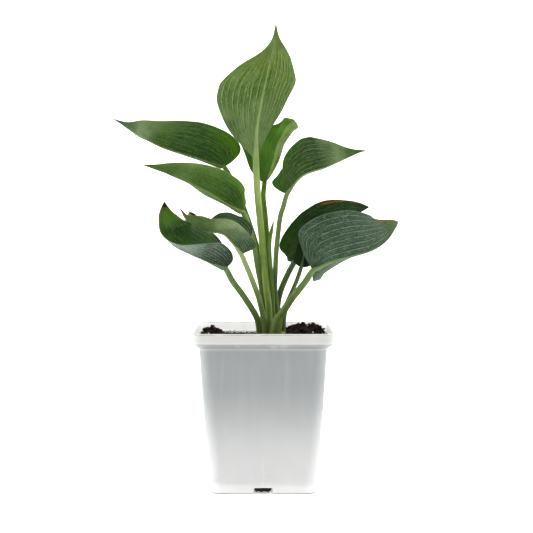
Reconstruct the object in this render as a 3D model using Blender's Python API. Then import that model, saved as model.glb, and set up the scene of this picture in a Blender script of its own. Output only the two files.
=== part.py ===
"""Hosta in a square nursery pot: pot, potting soil, crown, ten leaves on their stalks, spear leaf."""
import math

import bmesh
import bpy
import numpy as np

MM = 0.001
GAP = 0.3

# Square deep pot, millimetres.
POT_HEIGHT = 150.0
RIM_SIDE = 130.0
RIM_BAND = 10.0
RIM_LEDGE = 5.0
BODY_TOP_SIDE = 118.0
BODY_FOOT_SIDE = 101.0
RIM_CORNER = 9.0
BODY_CORNER = 12.0
WALL = 1.5
CHANNEL_FOOT = 20.0
CHANNEL_ROOF = 17.0
CHANNEL_HEIGHT = 6.0
DRAIN_HOLE = 8.0
DRAIN_PITCH = 30.0

# Potting soil and crown.
SOIL_LEVEL = 140.0
SOIL_PLATEAU = 141.5
SOIL_EDGE_SIDE = 121.0
PLATEAU_RADIUS = 19.0
CROWN_TOP = 146.2
CROWN_WIDTH = 32.0
CROWN_DEPTH = 30.0
CROWN_X = 7.5

# Leaf sheets.
BLADE_THICKNESS = 1.0
BLADE_STEPS_LONG = 17
BLADE_STEPS_WIDE = 11
STALK_STEPS = 13
STALK_SIDES = 10
STATIONS = np.array([0, 0.05, 0.12, 0.22, 0.35, 0.5, 0.65, 0.8, 0.9, 1.0])
STALK_STATIONS = np.array([0, 0.12, 0.3, 0.9, 1.0])

# Each leaf, in millimetres and degrees. spine: the midrib from stalk to tip. left, right: half widths
# at the stations, seen from the upper face with the tip up. lobe: how far each side sweeps back past
# the stalk, as a share of the length. crest: how far it runs ahead near the tip. facing: where the upper face looks, base to tip. fold: each
# half's lift at the midrib. curl: its further turn towards the margin.
LEAVES = {
    "top_leaf": {
        "spine": [(-7, -2, 312), (-6, -6, 338), (-1, -9, 366), (5, -5, 395), (10, 2, 419), (12, 8, 440)],
        "left": (2, 4, 8, 14, 22, 27, 32, 22, 6, 0.4),
        "right": (3, 10, 21, 35, 47, 49, 34, 11, 3, 0.4),
        "lobe": (0, 0),
        "crest": (0, 0),
        "facing": [(0.05, 1, 0.1), (0.08, 1, 0.2), (0.1, 1, 0.25)],
        "fold": ((18, 14, 30), (18, 10, 26)),
        "curl": ((10, 30, 20), (0, 22, 10)),
        "roll": 1,
        "stalk": [(5.2, -3.5, 147), (5.4, -4, 158), (4.9, -4, 172), (2.5, -3.5, 191), (0.2, -3, 215),
                  (-1.3, -3, 234), (-3.2, -2.5, 253), (-6, -2, 285), (-7, -2, 312)],
        "groove": [(0, 1, 0), (0, 1, 0)],
        "width": (6.6, 6.6, 6.4, 6.2, 6),
        "colour": (0.16, 0.27, 0.10),
    },
    "upper_left_leaf": {
        "spine": [(-37, 14, 303), (-56, 4, 309), (-76, -8, 315), (-97, -22, 322), (-118, -38, 333),
                  (-130, -47, 341), (-137, -52, 345)],
        "left": (2, 14, 24, 33, 36, 30, 22, 13, 4, 0.4),
        "right": (2, 9, 16, 24, 32, 32, 24, 11, 3, 0.4),
        "lobe": (0.22, 0.08),
        "crest": (0, 0),
        "facing": [(-0.2, 0.45, 0.9), (-0.05, 0.48, 0.88), (0.1, 0.5, 0.85)],
        "fold": ((58, 62, 60), (45, 40, 40)),
        "curl": ((10, 10, 10), (0, -10, 0)),
        "roll": 1,
        "stalk": [(0, 7, 147), (0.5, 7, 160), (1.5, 7, 177), (-0.5, 8, 200), (-5, 9, 222), (-13, 10.5, 248),
                  (-26, 12, 282), (-37, 14, 302)],
        "groove": [(0.5, 0.3, 0.2), (-0.5, 0.5, 0.7)],
        "width": (5.5, 5.5, 5.3, 5, 4.5),
        "colour": (0.09, 0.19, 0.05),
    },
    "mid_left_leaf": {
        "spine": [(-19, -12, 260), (-26, -16, 263), (-41, -22, 272), (-59, -32, 283), (-78, -44, 292),
                  (-94, -52, 298), (-103, -57, 301), (-109, -60, 303)],
        "left": (2, 8.8, 18, 25, 27, 22, 16, 9, 4, 0.4),
        "right": (2, 9.6, 20, 28, 32, 28, 20, 9, 3, 0.4),
        "lobe": (0.09, 0.14),
        "crest": (0, 0),
        "facing": [(-0.3, 0.4, 0.85), (-0.15, 0.4, 0.88), (0, 0.4, 0.9)],
        "fold": ((60, 58, 50), (45, 40, 30)),
        "curl": ((0, 10, 10), (0, -10, 0)),
        "roll": 1,
        "stalk": [(-1.5, 0.5, 147), (-1.5, 0.5, 160), (-2, 0.5, 177), (-4, -0.5, 196), (-6.5, -4, 213),
                  (-9, -8, 229.5), (-14.6, -10.5, 248), (-19, -12, 259)],
        "groove": [(-0.3, -0.2, 0.4), (-0.5, 0.5, 0.7)],
        "width": (5.8, 5.8, 5.6, 5.5, 5),
        "colour": (0.10, 0.20, 0.05),
    },
    "lower_left_leaf": {
        "spine": [(-35, -22, 207), (-50, -32, 214), (-67, -42, 222), (-82, -48, 230), (-90, -50, 239),
                  (-93, -49, 251), (-93, -46, 261), (-91, -44, 270)],
        "left": (3, 9, 15, 23, 31, 29, 20, 8, 4, 0.4),
        "right": (3, 20, 35, 46, 48, 46, 40, 26, 12, 0.4),
        "lobe": (0.1, 0.12),
        "crest": (0, 0.06),
        "facing": [(0, -0.35, 0.9), (0.1, -0.3, 0.9), (0.6, -0.6, 0.1)],
        "fold": ((80, 30, 25), (28, 20, 0)),
        "curl": ((0, 15, 10), (5, 8, 0)),
        "roll": 1,
        "stalk": [(-3.5, -6, 147), (-5.5, -9, 158), (-10.7, -12, 168.5), (-20, -16, 183),
                  (-29, -19.5, 195.5), (-36, -22, 206)],
        "groove": [(-0.3, 0.2, 0.6), (-0.5, 0.5, 0.7)],
        "width": (5.4, 5.6, 5.6, 5.4, 5),
        "colour": (0.08, 0.15, 0.06),
    },
    "front_left_leaf": {
        "spine": [(-20, -36, 221), (-30, -43, 234.5), (-38, -47, 241), (-53, -53, 243.5),
                  (-61.5, -56, 248.5), (-70, -59, 254), (-74, -60, 261), (-76.5, -60, 265)],
        "left": (3, 13, 18, 18, 18, 19, 17, 10, 4, 0.4),
        "right": (3, 20, 34, 36, 29, 14, 7, 4, 2, 0.4),
        "lobe": (0.11, 0.055),
        "crest": (0, 0),
        "facing": [(0.1, -0.1, 1), (0.15, -0.05, 0.95), (0.2, 0, 0.9)],
        "fold": ((62, 42, 35), (62, 46, 4)),
        "curl": ((0, 10, 0), (0, 10, 0)),
        "roll": 1,
        "stalk": [(2, -9, 147), (0.8, -11, 157), (-1.5, -14, 168), (-4.6, -18, 180.5), (-9.7, -25, 195),
                  (-14.7, -31, 208), (-20, -36, 220.5)],
        "groove": [(0, 0.6, 0.6), (0, 0.8, 0.6)],
        "width": (5, 5.2, 5, 4.6, 4.2),
        "colour": (0.08, 0.16, 0.07),
    },
    "upper_right_leaf": {
        "spine": [(22, 1, 277), (28, -3, 286), (39, -4, 296), (59, -1, 303), (81, 5, 313), (93, 9, 318),
                  (100, 12, 319)],
        "left": (2, 13, 22, 27, 28, 27, 20, 9, 3, 0.4),
        "right": (2, 6, 14, 25, 33, 31, 22, 9, 3, 0.4),
        "lobe": (0.11, -0.02),
        "crest": (0, 0),
        "facing": [(-0.5, 0.4, 0.7), (-0.25, 0.4, 0.8), (0, 0.4, 0.9)],
        "fold": ((70, 52, 40), (60, 62, 50)),
        "curl": ((0, 10, 0), (0, 15, 10)),
        "roll": 1,
        "stalk": [(14.5, 3.5, 147), (13.5, 4, 160), (12.5, 4.5, 172), (11.1, 5, 187), (11.6, 5, 205),
                  (12.3, 4.5, 221), (13.6, 4, 235), (16, 3, 255), (19.5, 2, 267), (22, 1, 276)],
        "groove": [(0, 0.3, 0.2), (0.3, 0.5, 0.7)],
        "width": (5, 5, 5, 4.8, 4.4),
        "colour": (0.09, 0.18, 0.06),
    },
    "centre_back_leaf": {
        "spine": [(1, 12, 289), (3, 20, 308), (7, 28, 327), (15, 32, 343), (21, 33, 353)],
        "left": (2, 10, 16, 21, 27, 31, 22, 9, 2, 0.4),
        "right": (2, 8, 15, 22, 27, 29, 30, 33, 35, 1.5),
        "lobe": (0, 0),
        "crest": (0, 0.16),
        "facing": [(-0.2, -1, 0.1), (-0.25, -1, 0.2), (-0.3, -1, 0.3)],
        "fold": ((5, 5, 5), (10, 10, 10)),
        "curl": ((120, 80, 10), (160, 200, 130)),
        "roll": 2.5,
        "stalk": [(6.5, 7, 147), (7, 8, 172), (6.2, 9, 195), (5, 9.5, 215), (3.2, 10, 240),
                  (1.8, 10.5, 258), (0, 11, 275), (1, 12, 288)],
        "groove": [(0, -1, 0), (0, -1, 0)],
        "width": (4.6, 4.8, 4.8, 4.6, 4.4),
        "colour": (0.15, 0.30, 0.09),
    },
    "lower_right_back_leaf": {
        "spine": [(29.5, 16, 212), (36, 20, 220), (52, 29, 230), (76, 44, 245), (95, 56, 259),
                  (106.5, 62, 265.5)],
        "left": (2, 10, 17, 24, 30, 31, 26, 14, 6, 0.4),
        "right": (2, 8, 18, 27, 33, 34, 30, 20, 11, 0.4),
        "lobe": (0.08, 0.10),
        "crest": (0, 0),
        "facing": [(-0.5, 0.4, 0.7), (-0.25, 0.4, 0.8), (0, 0.4, 0.9)],
        "fold": ((45, 40, 30), (64, 58, 50)),
        "curl": ((0, 10, 0), (0, 15, 10)),
        "roll": 1,
        "stalk": [(13, 10, 147), (13.5, 10.5, 160), (14, 11, 172.5), (17, 13, 185), (23, 15, 199),
                  (29, 16, 211)],
        "groove": [(0, 0.5, 0.6), (0.3, 0.5, 0.7)],
        "width": (5.4, 5.6, 5.6, 5.4, 5),
        "colour": (0.05, 0.11, 0.05),
    },
    "lower_right_leaf": {
        "spine": [(46, -26, 206), (61, -22, 213), (82, -14, 218), (104, 0, 224), (119, 14, 233),
                  (129, 27, 245), (133, 37, 251)],
        "left": (2, 12, 19, 31, 39, 38, 30, 18, 8, 0.4),
        "right": (3, 17, 34, 43, 45, 42, 35, 22, 11, 0.4),
        "lobe": (0.11, 0.1),
        "crest": (0, 0),
        "facing": [(-0.2, 0.45, 0.85), (-0.3, 0.45, 0.85), (-0.5, 0.5, 0.6)],
        "fold": ((-30, 50, 40), (66, 60, 50)),
        "curl": ((0, 10, 0), (0, 12, 12)),
        "roll": 1,
        "stalk": [(10, -10, 147), (14, -12, 158), (19.5, -15, 167.5), (26, -18, 178), (33, -21, 187),
                  (39.5, -24, 195.5), (46, -26, 205)],
        "groove": [(0.2, 0.5, 0.6), (0.1, 0.5, 0.8)],
        "width": (8, 8, 6.5, 5.8, 5.2),
        "colour": (0.09, 0.16, 0.10),
    },
    "small_leaf": {
        "spine": [(36.5, 9, 207.5), (38.3, 8, 215), (39.2, 7, 224), (39.2, 8, 232), (38.8, 10, 238)],
        "left": (2, 5, 8, 10, 10, 9, 7, 4, 2, 0.4),
        "right": (2, 5, 8, 10, 10, 9, 7, 4, 2, 0.4),
        "lobe": (0.05, 0.05),
        "crest": (0, 0),
        "facing": [(0, 1, 0.2), (0, 1, 0.2), (0, 1, 0.3)],
        "fold": ((20, 20, 10), (20, 20, 10)),
        "curl": ((0, 10, 0), (0, 10, 0)),
        "roll": 1,
        "stalk": [(19, 6.5, 147), (20, 7.5, 158), (22.5, 9, 172), (27.7, 10, 184), (32.6, 9.5, 195.6),
                  (36.4, 9, 206.5)],
        "groove": [(0, 0.5, 0.5), (0, 0.5, 0.8)],
        "width": (4.2, 4.2, 4.2, 4, 3.5),
        "colour": (0.05, 0.11, 0.04),
    },
}

# The furled young leaf that stands beside the tallest stalk.
SPEAR_PATH = [(9.5, 0.5, 147), (8.8, -0.5, 176), (7.5, -2, 200), (6, -3, 222), (6.5, -3.5, 236), (10, -4, 253)]
SPEAR_WIDTH = (5, 4.4, 3.6, 2.4, 0.8)


def clear_scene():
    for old in list(bpy.data.objects):
        bpy.data.objects.remove(old, do_unlink=True)


def material(name, colour, roughness, metallic=0.0):
    made = bpy.data.materials.new(name)
    made.use_nodes = True
    shader = made.node_tree.nodes["Principled BSDF"]
    shader.inputs["Base Color"].default_value = (*colour, 1.0)
    shader.inputs["Roughness"].default_value = roughness
    shader.inputs["Metallic"].default_value = metallic
    return made


def make_object(name, verts, faces, mat=None):
    mesh = bpy.data.meshes.new(name)
    mesh.from_pydata((np.asarray(verts, float) * MM).tolist(), [], faces)
    shape = bmesh.new()
    shape.from_mesh(mesh)
    bmesh.ops.recalc_face_normals(shape, faces=shape.faces)
    shape.to_mesh(mesh)
    shape.free()
    made = bpy.data.objects.new(name, mesh)
    bpy.context.scene.collection.objects.link(made)
    if mat is not None:
        mesh.materials.append(mat)
    return made


def shade_smooth(made, angle=40.0):
    made.data.shade_smooth()
    made.data.set_sharp_from_angle(angle=math.radians(angle))


def unit(rows):
    return rows / np.linalg.norm(rows, axis=-1, keepdims=True)


def smooth_curve(points, steps=160):
    """A smooth curve through the points, with its running length."""
    p = np.asarray(points, float)
    p = np.vstack([2 * p[0] - p[1], p, 2 * p[-1] - p[-2]])
    per_span = max(2, steps // (len(p) - 3))
    t = np.linspace(0, 1, per_span, endpoint=False)[:, None]
    spans = []
    for p0, p1, p2, p3 in zip(p[:-3], p[1:-2], p[2:-1], p[3:]):
        cubic = (3 * p1 - p0 - 3 * p2 + p3) * t ** 3
        square = (2 * p0 - 5 * p1 + 4 * p2 - p3) * t ** 2
        spans.append(0.5 * (2 * p1 + (p2 - p0) * t + square + cubic))
    curve = np.vstack(spans + [p[-2][None]])
    length = np.r_[0, np.cumsum(np.linalg.norm(np.diff(curve, axis=0), axis=1))]
    return curve, length


def along(curve, length, s):
    return np.stack([np.interp(s, length, curve[:, k]) for k in range(3)], -1)


def blend(three, t):
    a, b, c = three
    return (1 - t) ** 2 * a + 2 * t * (1 - t) * b + t * t * c


def width_at(values, u):
    """Half width between the stations: a cubic that never overshoots them."""
    v = np.asarray(values, float)
    slope = np.gradient(v, STATIONS)
    i = np.clip(np.searchsorted(STATIONS, u, side="right") - 1, 0, len(STATIONS) - 2)
    h = STATIONS[i + 1] - STATIONS[i]
    t = (u - STATIONS[i]) / h
    d = (v[i + 1] - v[i]) / h
    low = np.minimum(0, 3 * d)
    high = np.maximum(0, 3 * d)
    m0 = np.clip(slope[i], low, high)
    m1 = np.clip(slope[i + 1], low, high)
    ends = (2 * t ** 3 - 3 * t ** 2 + 1) * v[i] + (3 * t ** 2 - 2 * t ** 3) * v[i + 1]
    return ends + (t ** 3 - 2 * t ** 2 + t) * h * m0 + (t ** 3 - t ** 2) * h * m1


def blade_grid(leaf, long_steps, wide_steps, start=0.0, stop=0.985):
    """The leaf's middle surface: rows run from stalk to tip, columns from left to right margin."""
    curve, length = smooth_curve(leaf["spine"])
    total = length[-1]
    tangents = unit(np.gradient(curve, length, axis=0))
    u = np.linspace(start, stop, long_steps)[:, None]
    v = np.linspace(-1, 1, wide_steps)[None, :]
    is_left = v < 0
    half = np.where(is_left, width_at(leaf["left"], u), width_at(leaf["right"], u))
    lobe = np.where(is_left, leaf["lobe"][0], leaf["lobe"][1])
    sweep = 14.93 * u * (1 - u) ** 5
    crest = np.where(is_left, leaf["crest"][0], leaf["crest"][1]) * 6.75 * u * u * (1 - u)
    s = total * (u + (crest - lobe * sweep) * np.abs(v) ** 1.5)
    inside = np.clip(s, 0, total)
    centre = along(curve, length, inside)
    forward = unit(along(tangents, length, inside))
    centre = centre + forward * (s - inside)[..., None]
    facing = [np.asarray(row, float) for row in leaf["facing"]]
    up = blend(facing, (inside / total)[..., None])
    up = unit(up - (up * forward).sum(-1, keepdims=True) * forward)
    side = np.cross(forward, up)
    fold = np.radians(np.where(is_left, blend(leaf["fold"][0], u), blend(leaf["fold"][1], u)))
    curl = np.radians(np.where(is_left, blend(leaf["curl"][0], u), blend(leaf["curl"][1], u)))
    middle = (wide_steps - 1) // 2
    share = np.abs(v) + 0 * u
    out = np.zeros_like(share)
    rise = np.zeros_like(share)
    for sign in (-1, 1):
        for step in range(1, middle + 1):
            here = middle + sign * step
            before = here - sign
            halfway = (share[:, here] + share[:, before]) / 2
            angle = fold[:, here] + curl[:, here] * halfway ** leaf["roll"]
            run = half[:, here] * (share[:, here] - share[:, before])
            out[:, here] = out[:, before] + run * np.cos(angle)
            rise[:, here] = rise[:, before] + run * np.sin(angle)
    sign = np.where(is_left, -1, 1)
    points = centre + side * (sign * out)[..., None] + up * rise[..., None]
    return points, half


def grid_normals(points):
    along_u = np.gradient(points, axis=0)
    along_v = np.gradient(points, axis=1)
    normals = unit(np.cross(along_v, along_u))
    normals[0] = normals[1]
    return normals


def blade_solid(name, leaf, mat):
    points, half = blade_grid(leaf, BLADE_STEPS_LONG, BLADE_STEPS_WIDE)
    rows, columns = points.shape[:2]
    near_stalk = np.linspace(0, 1, rows)[:, None] / 0.16 + 0.3
    taper = np.clip(np.minimum(half / 5.0, near_stalk), 0.2, 1.0)[..., None]
    offset = grid_normals(points) * taper * BLADE_THICKNESS / 2
    verts = np.concatenate([(points + offset).reshape(-1, 3), (points - offset).reshape(-1, 3)])
    index = np.arange(rows * columns).reshape(rows, columns)
    under = index + rows * columns
    faces = []
    for sheet, flip in ((index, False), (under, True)):
        quads = np.stack([sheet[:-1, :-1], sheet[:-1, 1:], sheet[1:, 1:], sheet[1:, :-1]], -1).reshape(-1, 4)
        faces += [tuple(q[::-1]) if flip else tuple(q) for q in quads.tolist()]
    ring = np.concatenate([index[0, :-1], index[:-1, -1], index[-1, :0:-1], index[:0:-1, 0]])
    other = ring + rows * columns
    for k in range(len(ring)):
        n = (k + 1) % len(ring)
        faces.append((int(ring[k]), int(other[k]), int(other[n]), int(ring[n])))
    made = make_object(name, verts, faces, mat)
    shade_smooth(made, 50)
    return made


def stalk_solid(name, path, groove, width, mat, trim):
    """A grooved leaf stalk: wide sheathing foot, narrower above, flatter on its upper side."""
    curve, length = smooth_curve(path)
    total = length[-1] - trim
    s = np.linspace(0, total, STALK_STEPS)
    centre = along(curve, length, s)
    forward = unit(np.gradient(centre, s, axis=0))
    t = (s / total)[:, None]
    up = (1 - t) * np.asarray(groove[0], float) + t * np.asarray(groove[1], float)
    up = unit(up - (up * forward).sum(-1, keepdims=True) * forward)
    side = np.cross(forward, up)
    radius = np.interp(s / total, STALK_STATIONS, width)[:, None, None] / 2
    angle = np.linspace(0, 2 * math.pi, STALK_SIDES, endpoint=False)
    depth = np.where(np.cos(angle) > 0, 0.45, 0.85) * np.cos(angle)
    rings = centre[:, None] + radius * (
        side[:, None] * np.sin(angle)[None, :, None] + up[:, None] * depth[None, :, None])
    rings[0, :, 2] = CROWN_TOP + GAP
    verts = rings.reshape(-1, 3)
    faces = []
    for i in range(STALK_STEPS - 1):
        for j in range(STALK_SIDES):
            n = (j + 1) % STALK_SIDES
            a = i * STALK_SIDES
            b = a + STALK_SIDES
            faces.append((a + j, a + n, b + n, b + j))
    faces.append(tuple(range(STALK_SIDES)))
    faces.append(tuple(range((STALK_STEPS - 1) * STALK_SIDES, STALK_STEPS * STALK_SIDES)))
    made = make_object(name, verts, faces, mat)
    shade_smooth(made, 50)
    return made


def square_ring(side, corner, z, corner_steps=5):
    """A square outline with round corners, counter-clockwise."""
    inner = side / 2 - corner
    points = []
    for quarter in range(4):
        start = quarter * math.pi / 2
        sx = 1 if quarter in (0, 3) else -1
        sy = 1 if quarter in (0, 1) else -1
        for step in range(corner_steps + 1):
            angle = start + step / corner_steps * math.pi / 2
            points.append((sx * inner + corner * math.cos(angle), sy * inner + corner * math.sin(angle), z))
    return points


def loft(name, rings, mat=None):
    count = len(rings[0])
    verts = [point for ring in rings for point in ring]
    faces = []
    for i in range(len(rings) - 1):
        for j in range(count):
            n = (j + 1) % count
            faces.append((i * count + j, i * count + n, (i + 1) * count + n, (i + 1) * count + j))
    faces.append(tuple(range(count)))
    faces.append(tuple(range((len(rings) - 1) * count, len(rings) * count)))
    return make_object(name, verts, faces, mat)


def cutter(made):
    made.hide_render = True
    made.display_type = "WIRE"
    return made


def subtract(target, tool):
    cut = target.modifiers.new(tool.name, "BOOLEAN")
    cut.operation = "DIFFERENCE"
    cut.solver = "EXACT"
    cut.object = tool


def channel_prism(name, along_x, grow, top, reach):
    """A trapezoid bar through the middle of the base, along X or along Y."""
    foot = CHANNEL_FOOT / 2 + grow
    roof = CHANNEL_ROOF / 2 + grow
    section = [(-foot - 0.25, -1.0), (foot + 0.25, -1.0), (roof, top), (-roof, top)]
    ends = []
    for station in (-reach, reach):
        if along_x:
            ends.append([(station, across, z) for across, z in section])
        else:
            ends.append([(across, station, z) for across, z in section])
    return cutter(loft(name, ends))


def inner_rings(inset, floor):
    """The pot's hollow, from its floor to above its rim, pulled in by inset."""
    body = BODY_FOOT_SIDE + (BODY_TOP_SIDE - BODY_FOOT_SIDE) * floor / (POT_HEIGHT - RIM_BAND - RIM_LEDGE)
    shrink = 2 * (WALL + inset)
    rim_foot = POT_HEIGHT - RIM_BAND
    body_top = rim_foot - RIM_LEDGE
    return [
        (body - shrink, BODY_CORNER - WALL - inset, floor),
        (BODY_TOP_SIDE - shrink, BODY_CORNER - WALL - inset, body_top + 1.0),
        (RIM_SIDE - shrink, RIM_CORNER - WALL - inset, rim_foot + 1.0),
    ]


def build_pot():
    plastic = material("pot_plastic", (0.80, 0.81, 0.80), 0.42)
    rim_foot = POT_HEIGHT - RIM_BAND
    body_top = rim_foot - RIM_LEDGE
    pot = loft("pot", [
        square_ring(BODY_FOOT_SIDE - 2.0, BODY_CORNER - 1.0, 0.0),
        square_ring(BODY_FOOT_SIDE, BODY_CORNER, 1.2),
        square_ring(BODY_TOP_SIDE, BODY_CORNER, body_top),
        square_ring(RIM_SIDE - 1.0, RIM_CORNER, rim_foot),
        square_ring(RIM_SIDE, RIM_CORNER, rim_foot + 1.0),
        square_ring(RIM_SIDE, RIM_CORNER, POT_HEIGHT - 0.5),
        square_ring(RIM_SIDE - 0.8, RIM_CORNER - 0.4, POT_HEIGHT),
    ], plastic)
    hollow_rings = inner_rings(0.0, WALL)
    rings = [square_ring(*ring) for ring in hollow_rings]
    side, corner, _ = hollow_rings[-1]
    rings.append(square_ring(side, corner, POT_HEIGHT + 5.0))
    hollow = cutter(loft("pot_hollow", rings))
    for along_x in (True, False):
        axis = "x" if along_x else "y"
        ridge = channel_prism("ridge_" + axis, along_x, WALL, CHANNEL_HEIGHT + WALL, 80.0)
        subtract(hollow, ridge)
    subtract(pot, hollow)
    for along_x in (True, False):
        axis = "x" if along_x else "y"
        channel = channel_prism("channel_" + axis, along_x, 0.0, CHANNEL_HEIGHT, 80.0)
        subtract(pot, channel)
    centres = [(0, 0), (DRAIN_PITCH, 0), (-DRAIN_PITCH, 0), (0, DRAIN_PITCH), (0, -DRAIN_PITCH)]
    for number, (x, y) in enumerate(centres):
        turn = [2 * math.pi * k / 16 for k in range(16)]
        low = [(x + DRAIN_HOLE / 2 * math.cos(a), y + DRAIN_HOLE / 2 * math.sin(a), 3.0) for a in turn]
        high = [(px, py, 9.0) for px, py, _ in low]
        subtract(pot, cutter(loft("drain_%d" % number, [low, high])))
    return pot


def soil_height(x, y):
    """The soil's surface: a low level, a flat patch under the crown, two heaps and a hollow behind."""
    right_heap = 8.6 * np.exp(-((x - 41) / 19) ** 4 - ((y - 42) / 18) ** 2)
    left_heap = 6.0 * np.exp(-((x + 52) / 9) ** 2 - ((y - 48) / 14) ** 2)
    hollow = 5.5 * np.exp(-((x + 22) / 17) ** 4 - ((y - 62) / 26) ** 2)
    waves = 0.6 * np.sin(x / 7.0 + 1.0) * np.cos(y / 9.0)
    open_soil = SOIL_LEVEL + right_heap + left_heap - hollow + waves
    near = np.clip((np.hypot(x - CROWN_X, y) - PLATEAU_RADIUS) / 8.0, 0, 1)
    return SOIL_PLATEAU * (1 - near) + open_soil * near


def build_soil():
    soil_mat = material("potting_mix", (0.022, 0.014, 0.010), 0.95)
    floor = CHANNEL_HEIGHT + WALL + GAP
    rows = inner_rings(GAP, floor)
    rings = [square_ring(*row) for row in rows[:2]]
    edge = SOIL_EDGE_SIDE
    corner = BODY_CORNER
    for share in (1.0, 0.9, 0.78, 0.66, 0.54, 0.42, 0.31, 0.2, 0.1, 0.03):
        flat = np.array(square_ring(edge * share, max(corner * share, 0.5), 0.0))
        flat[:, 2] = soil_height(flat[:, 0], flat[:, 1])
        rings.append([tuple(p) for p in flat.tolist()])
    soil = loft("potting_soil", rings, soil_mat)
    shade_smooth(soil, 35)
    return soil


def build_crown():
    flesh = material("crown_flesh", (0.30, 0.24, 0.12), 0.75)
    rings = []
    for share, z in ((0.86, SOIL_PLATEAU + GAP), (1.0, 143.2), (0.99, 145.2), (0.94, CROWN_TOP)):
        turn = [2 * math.pi * k / 24 for k in range(24)]
        rings.append([(CROWN_X + share * CROWN_WIDTH / 2 * math.cos(a), share * CROWN_DEPTH / 2 * math.sin(a), z)
                      for a in turn])
    crown = loft("crown", rings, flesh)
    shade_smooth(crown, 50)
    return crown


def build_leaf(name, leaf):
    green = material(name + "_green", leaf["colour"], 0.5)
    stem = material(name + "_stalk_green", (0.20, 0.33, 0.11), 0.45)
    blade_solid(name + "_blade", leaf, green)
    stalk_solid(name + "_stalk", leaf["stalk"], leaf["groove"], leaf["width"], stem, trim=1.2)


def build_spear():
    green = material("spear_green", (0.17, 0.30, 0.09), 0.5)
    stalk_solid("spear_leaf", SPEAR_PATH, [(0, 1, 0), (0, 1, 0)], SPEAR_WIDTH, green, trim=0.0)


clear_scene()
build_pot()
build_soil()
build_crown()
for leaf_name, leaf_shape in LEAVES.items():
    build_leaf(leaf_name, leaf_shape)
build_spear()
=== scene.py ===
"""A young hosta in a white square nursery pot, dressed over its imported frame."""
import math

import bpy
import mathutils
import numpy as np
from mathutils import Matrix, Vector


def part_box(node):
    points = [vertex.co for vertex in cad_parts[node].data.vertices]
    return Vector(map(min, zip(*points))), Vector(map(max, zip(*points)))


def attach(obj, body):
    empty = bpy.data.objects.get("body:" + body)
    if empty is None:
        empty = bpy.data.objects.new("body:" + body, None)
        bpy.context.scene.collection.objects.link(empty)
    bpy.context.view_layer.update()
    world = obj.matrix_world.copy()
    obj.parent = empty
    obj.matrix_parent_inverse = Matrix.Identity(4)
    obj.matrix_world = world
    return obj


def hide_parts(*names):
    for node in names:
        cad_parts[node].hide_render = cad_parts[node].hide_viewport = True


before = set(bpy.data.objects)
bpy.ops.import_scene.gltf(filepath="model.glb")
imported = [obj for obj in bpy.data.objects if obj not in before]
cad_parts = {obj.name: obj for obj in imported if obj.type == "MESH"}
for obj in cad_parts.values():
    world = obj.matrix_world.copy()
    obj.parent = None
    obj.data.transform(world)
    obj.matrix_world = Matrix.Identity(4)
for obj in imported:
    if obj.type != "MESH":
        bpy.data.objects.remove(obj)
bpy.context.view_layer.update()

# --- The pot ------------------------------------------------------------------------------------
# A deep square nursery pot, injection-moulded in white polypropylene: an upright rim band, a
# sloping ledge under it, and a body tapering to a foot with a drainage channel across each way.
# The mould leaves a faint seam up the middle of each face.


class Sap:
    """A value in a material's nodes. Arithmetic on it adds Math nodes, and node() adds any other."""

    def __init__(self, tree, socket=None):
        self.tree = tree
        self.socket = socket

    def node(self, kind, settings, inputs, output=0):
        """Adds a node, sets its settings, then gives its sockets their values or links."""
        made = self.tree.nodes.new(kind)
        for key, value in settings.items():
            if key == "stops":
                ramp = made.color_ramp
                while len(ramp.elements) > 1:
                    ramp.elements.remove(ramp.elements[-1])
                ramp.elements[0].position = value[0][0]
                ramp.elements[0].color = (*value[0][1], 1.0)
                for place, colour in value[1:]:
                    ramp.elements.new(place).color = (*colour, 1.0)
            else:
                setattr(made, key, value)
        for key, value in inputs.items():
            self.feed(made.inputs[key], value)
        return Sap(self.tree, made.outputs[output])

    def feed(self, socket, value):
        """Gives a socket a link, a colour or a plain number."""
        if isinstance(value, Sap):
            self.tree.links.new(value.socket, socket)
        elif isinstance(value, tuple) and len(value) == 3 and len(socket.default_value) == 4:
            socket.default_value = (*value, 1.0)
        else:
            socket.default_value = value

    def sum_of(self, operation, first, second=0.0):
        """A Math node over one or two values."""
        return self.node("ShaderNodeMath", {"operation": operation}, {0: first, 1: second})

    def __add__(self, other):
        return self.sum_of("ADD", self, other)

    __radd__ = __add__

    def __sub__(self, other):
        return self.sum_of("SUBTRACT", self, other)

    def __rsub__(self, other):
        return self.sum_of("SUBTRACT", other, self)

    def __mul__(self, other):
        return self.sum_of("MULTIPLY", self, other)

    __rmul__ = __mul__

    def __abs__(self):
        return self.sum_of("ABSOLUTE", self)

    def part(self):
        """What is left after the decimal point."""
        return self.sum_of("FRACT", self)

    def rise(self, low, high):
        """0 below low, 1 above high, and a smooth step between."""
        return self.node("ShaderNodeMapRange", {"interpolation_type": "SMOOTHSTEP"},
                         {"Value": self, "From Min": low, "From Max": high})

    def blend(self, first, second):
        """The first colour where this value is 0, the second where it is 1."""
        return self.node("ShaderNodeMix", {"data_type": "RGBA"}, {0: self, 6: first, 7: second}, 2)

    def tinted(self, stops):
        """This value looked up along a strip of colours."""
        return self.node("ShaderNodeValToRGB", {"stops": stops}, {0: self})

    def place(self):
        """Where the point is on the object."""
        return self.node("ShaderNodeTexCoord", {}, {}, 3)

    def split(self):
        """The three numbers of a place or a map, each on its own."""
        first = self.node("ShaderNodeSeparateXYZ", {}, {0: self})
        return [Sap(self.tree, outlet) for outlet in first.socket.node.outputs]

    def end(self, shader, tone, bump, roughness=None):
        """Finishes a material: its colour, its bump and, where it varies, its roughness."""
        self.feed(shader.inputs["Base Color"], tone)
        self.feed(shader.inputs["Normal"], bump)
        if roughness is not None:
            self.feed(shader.inputs["Roughness"], roughness)


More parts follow.
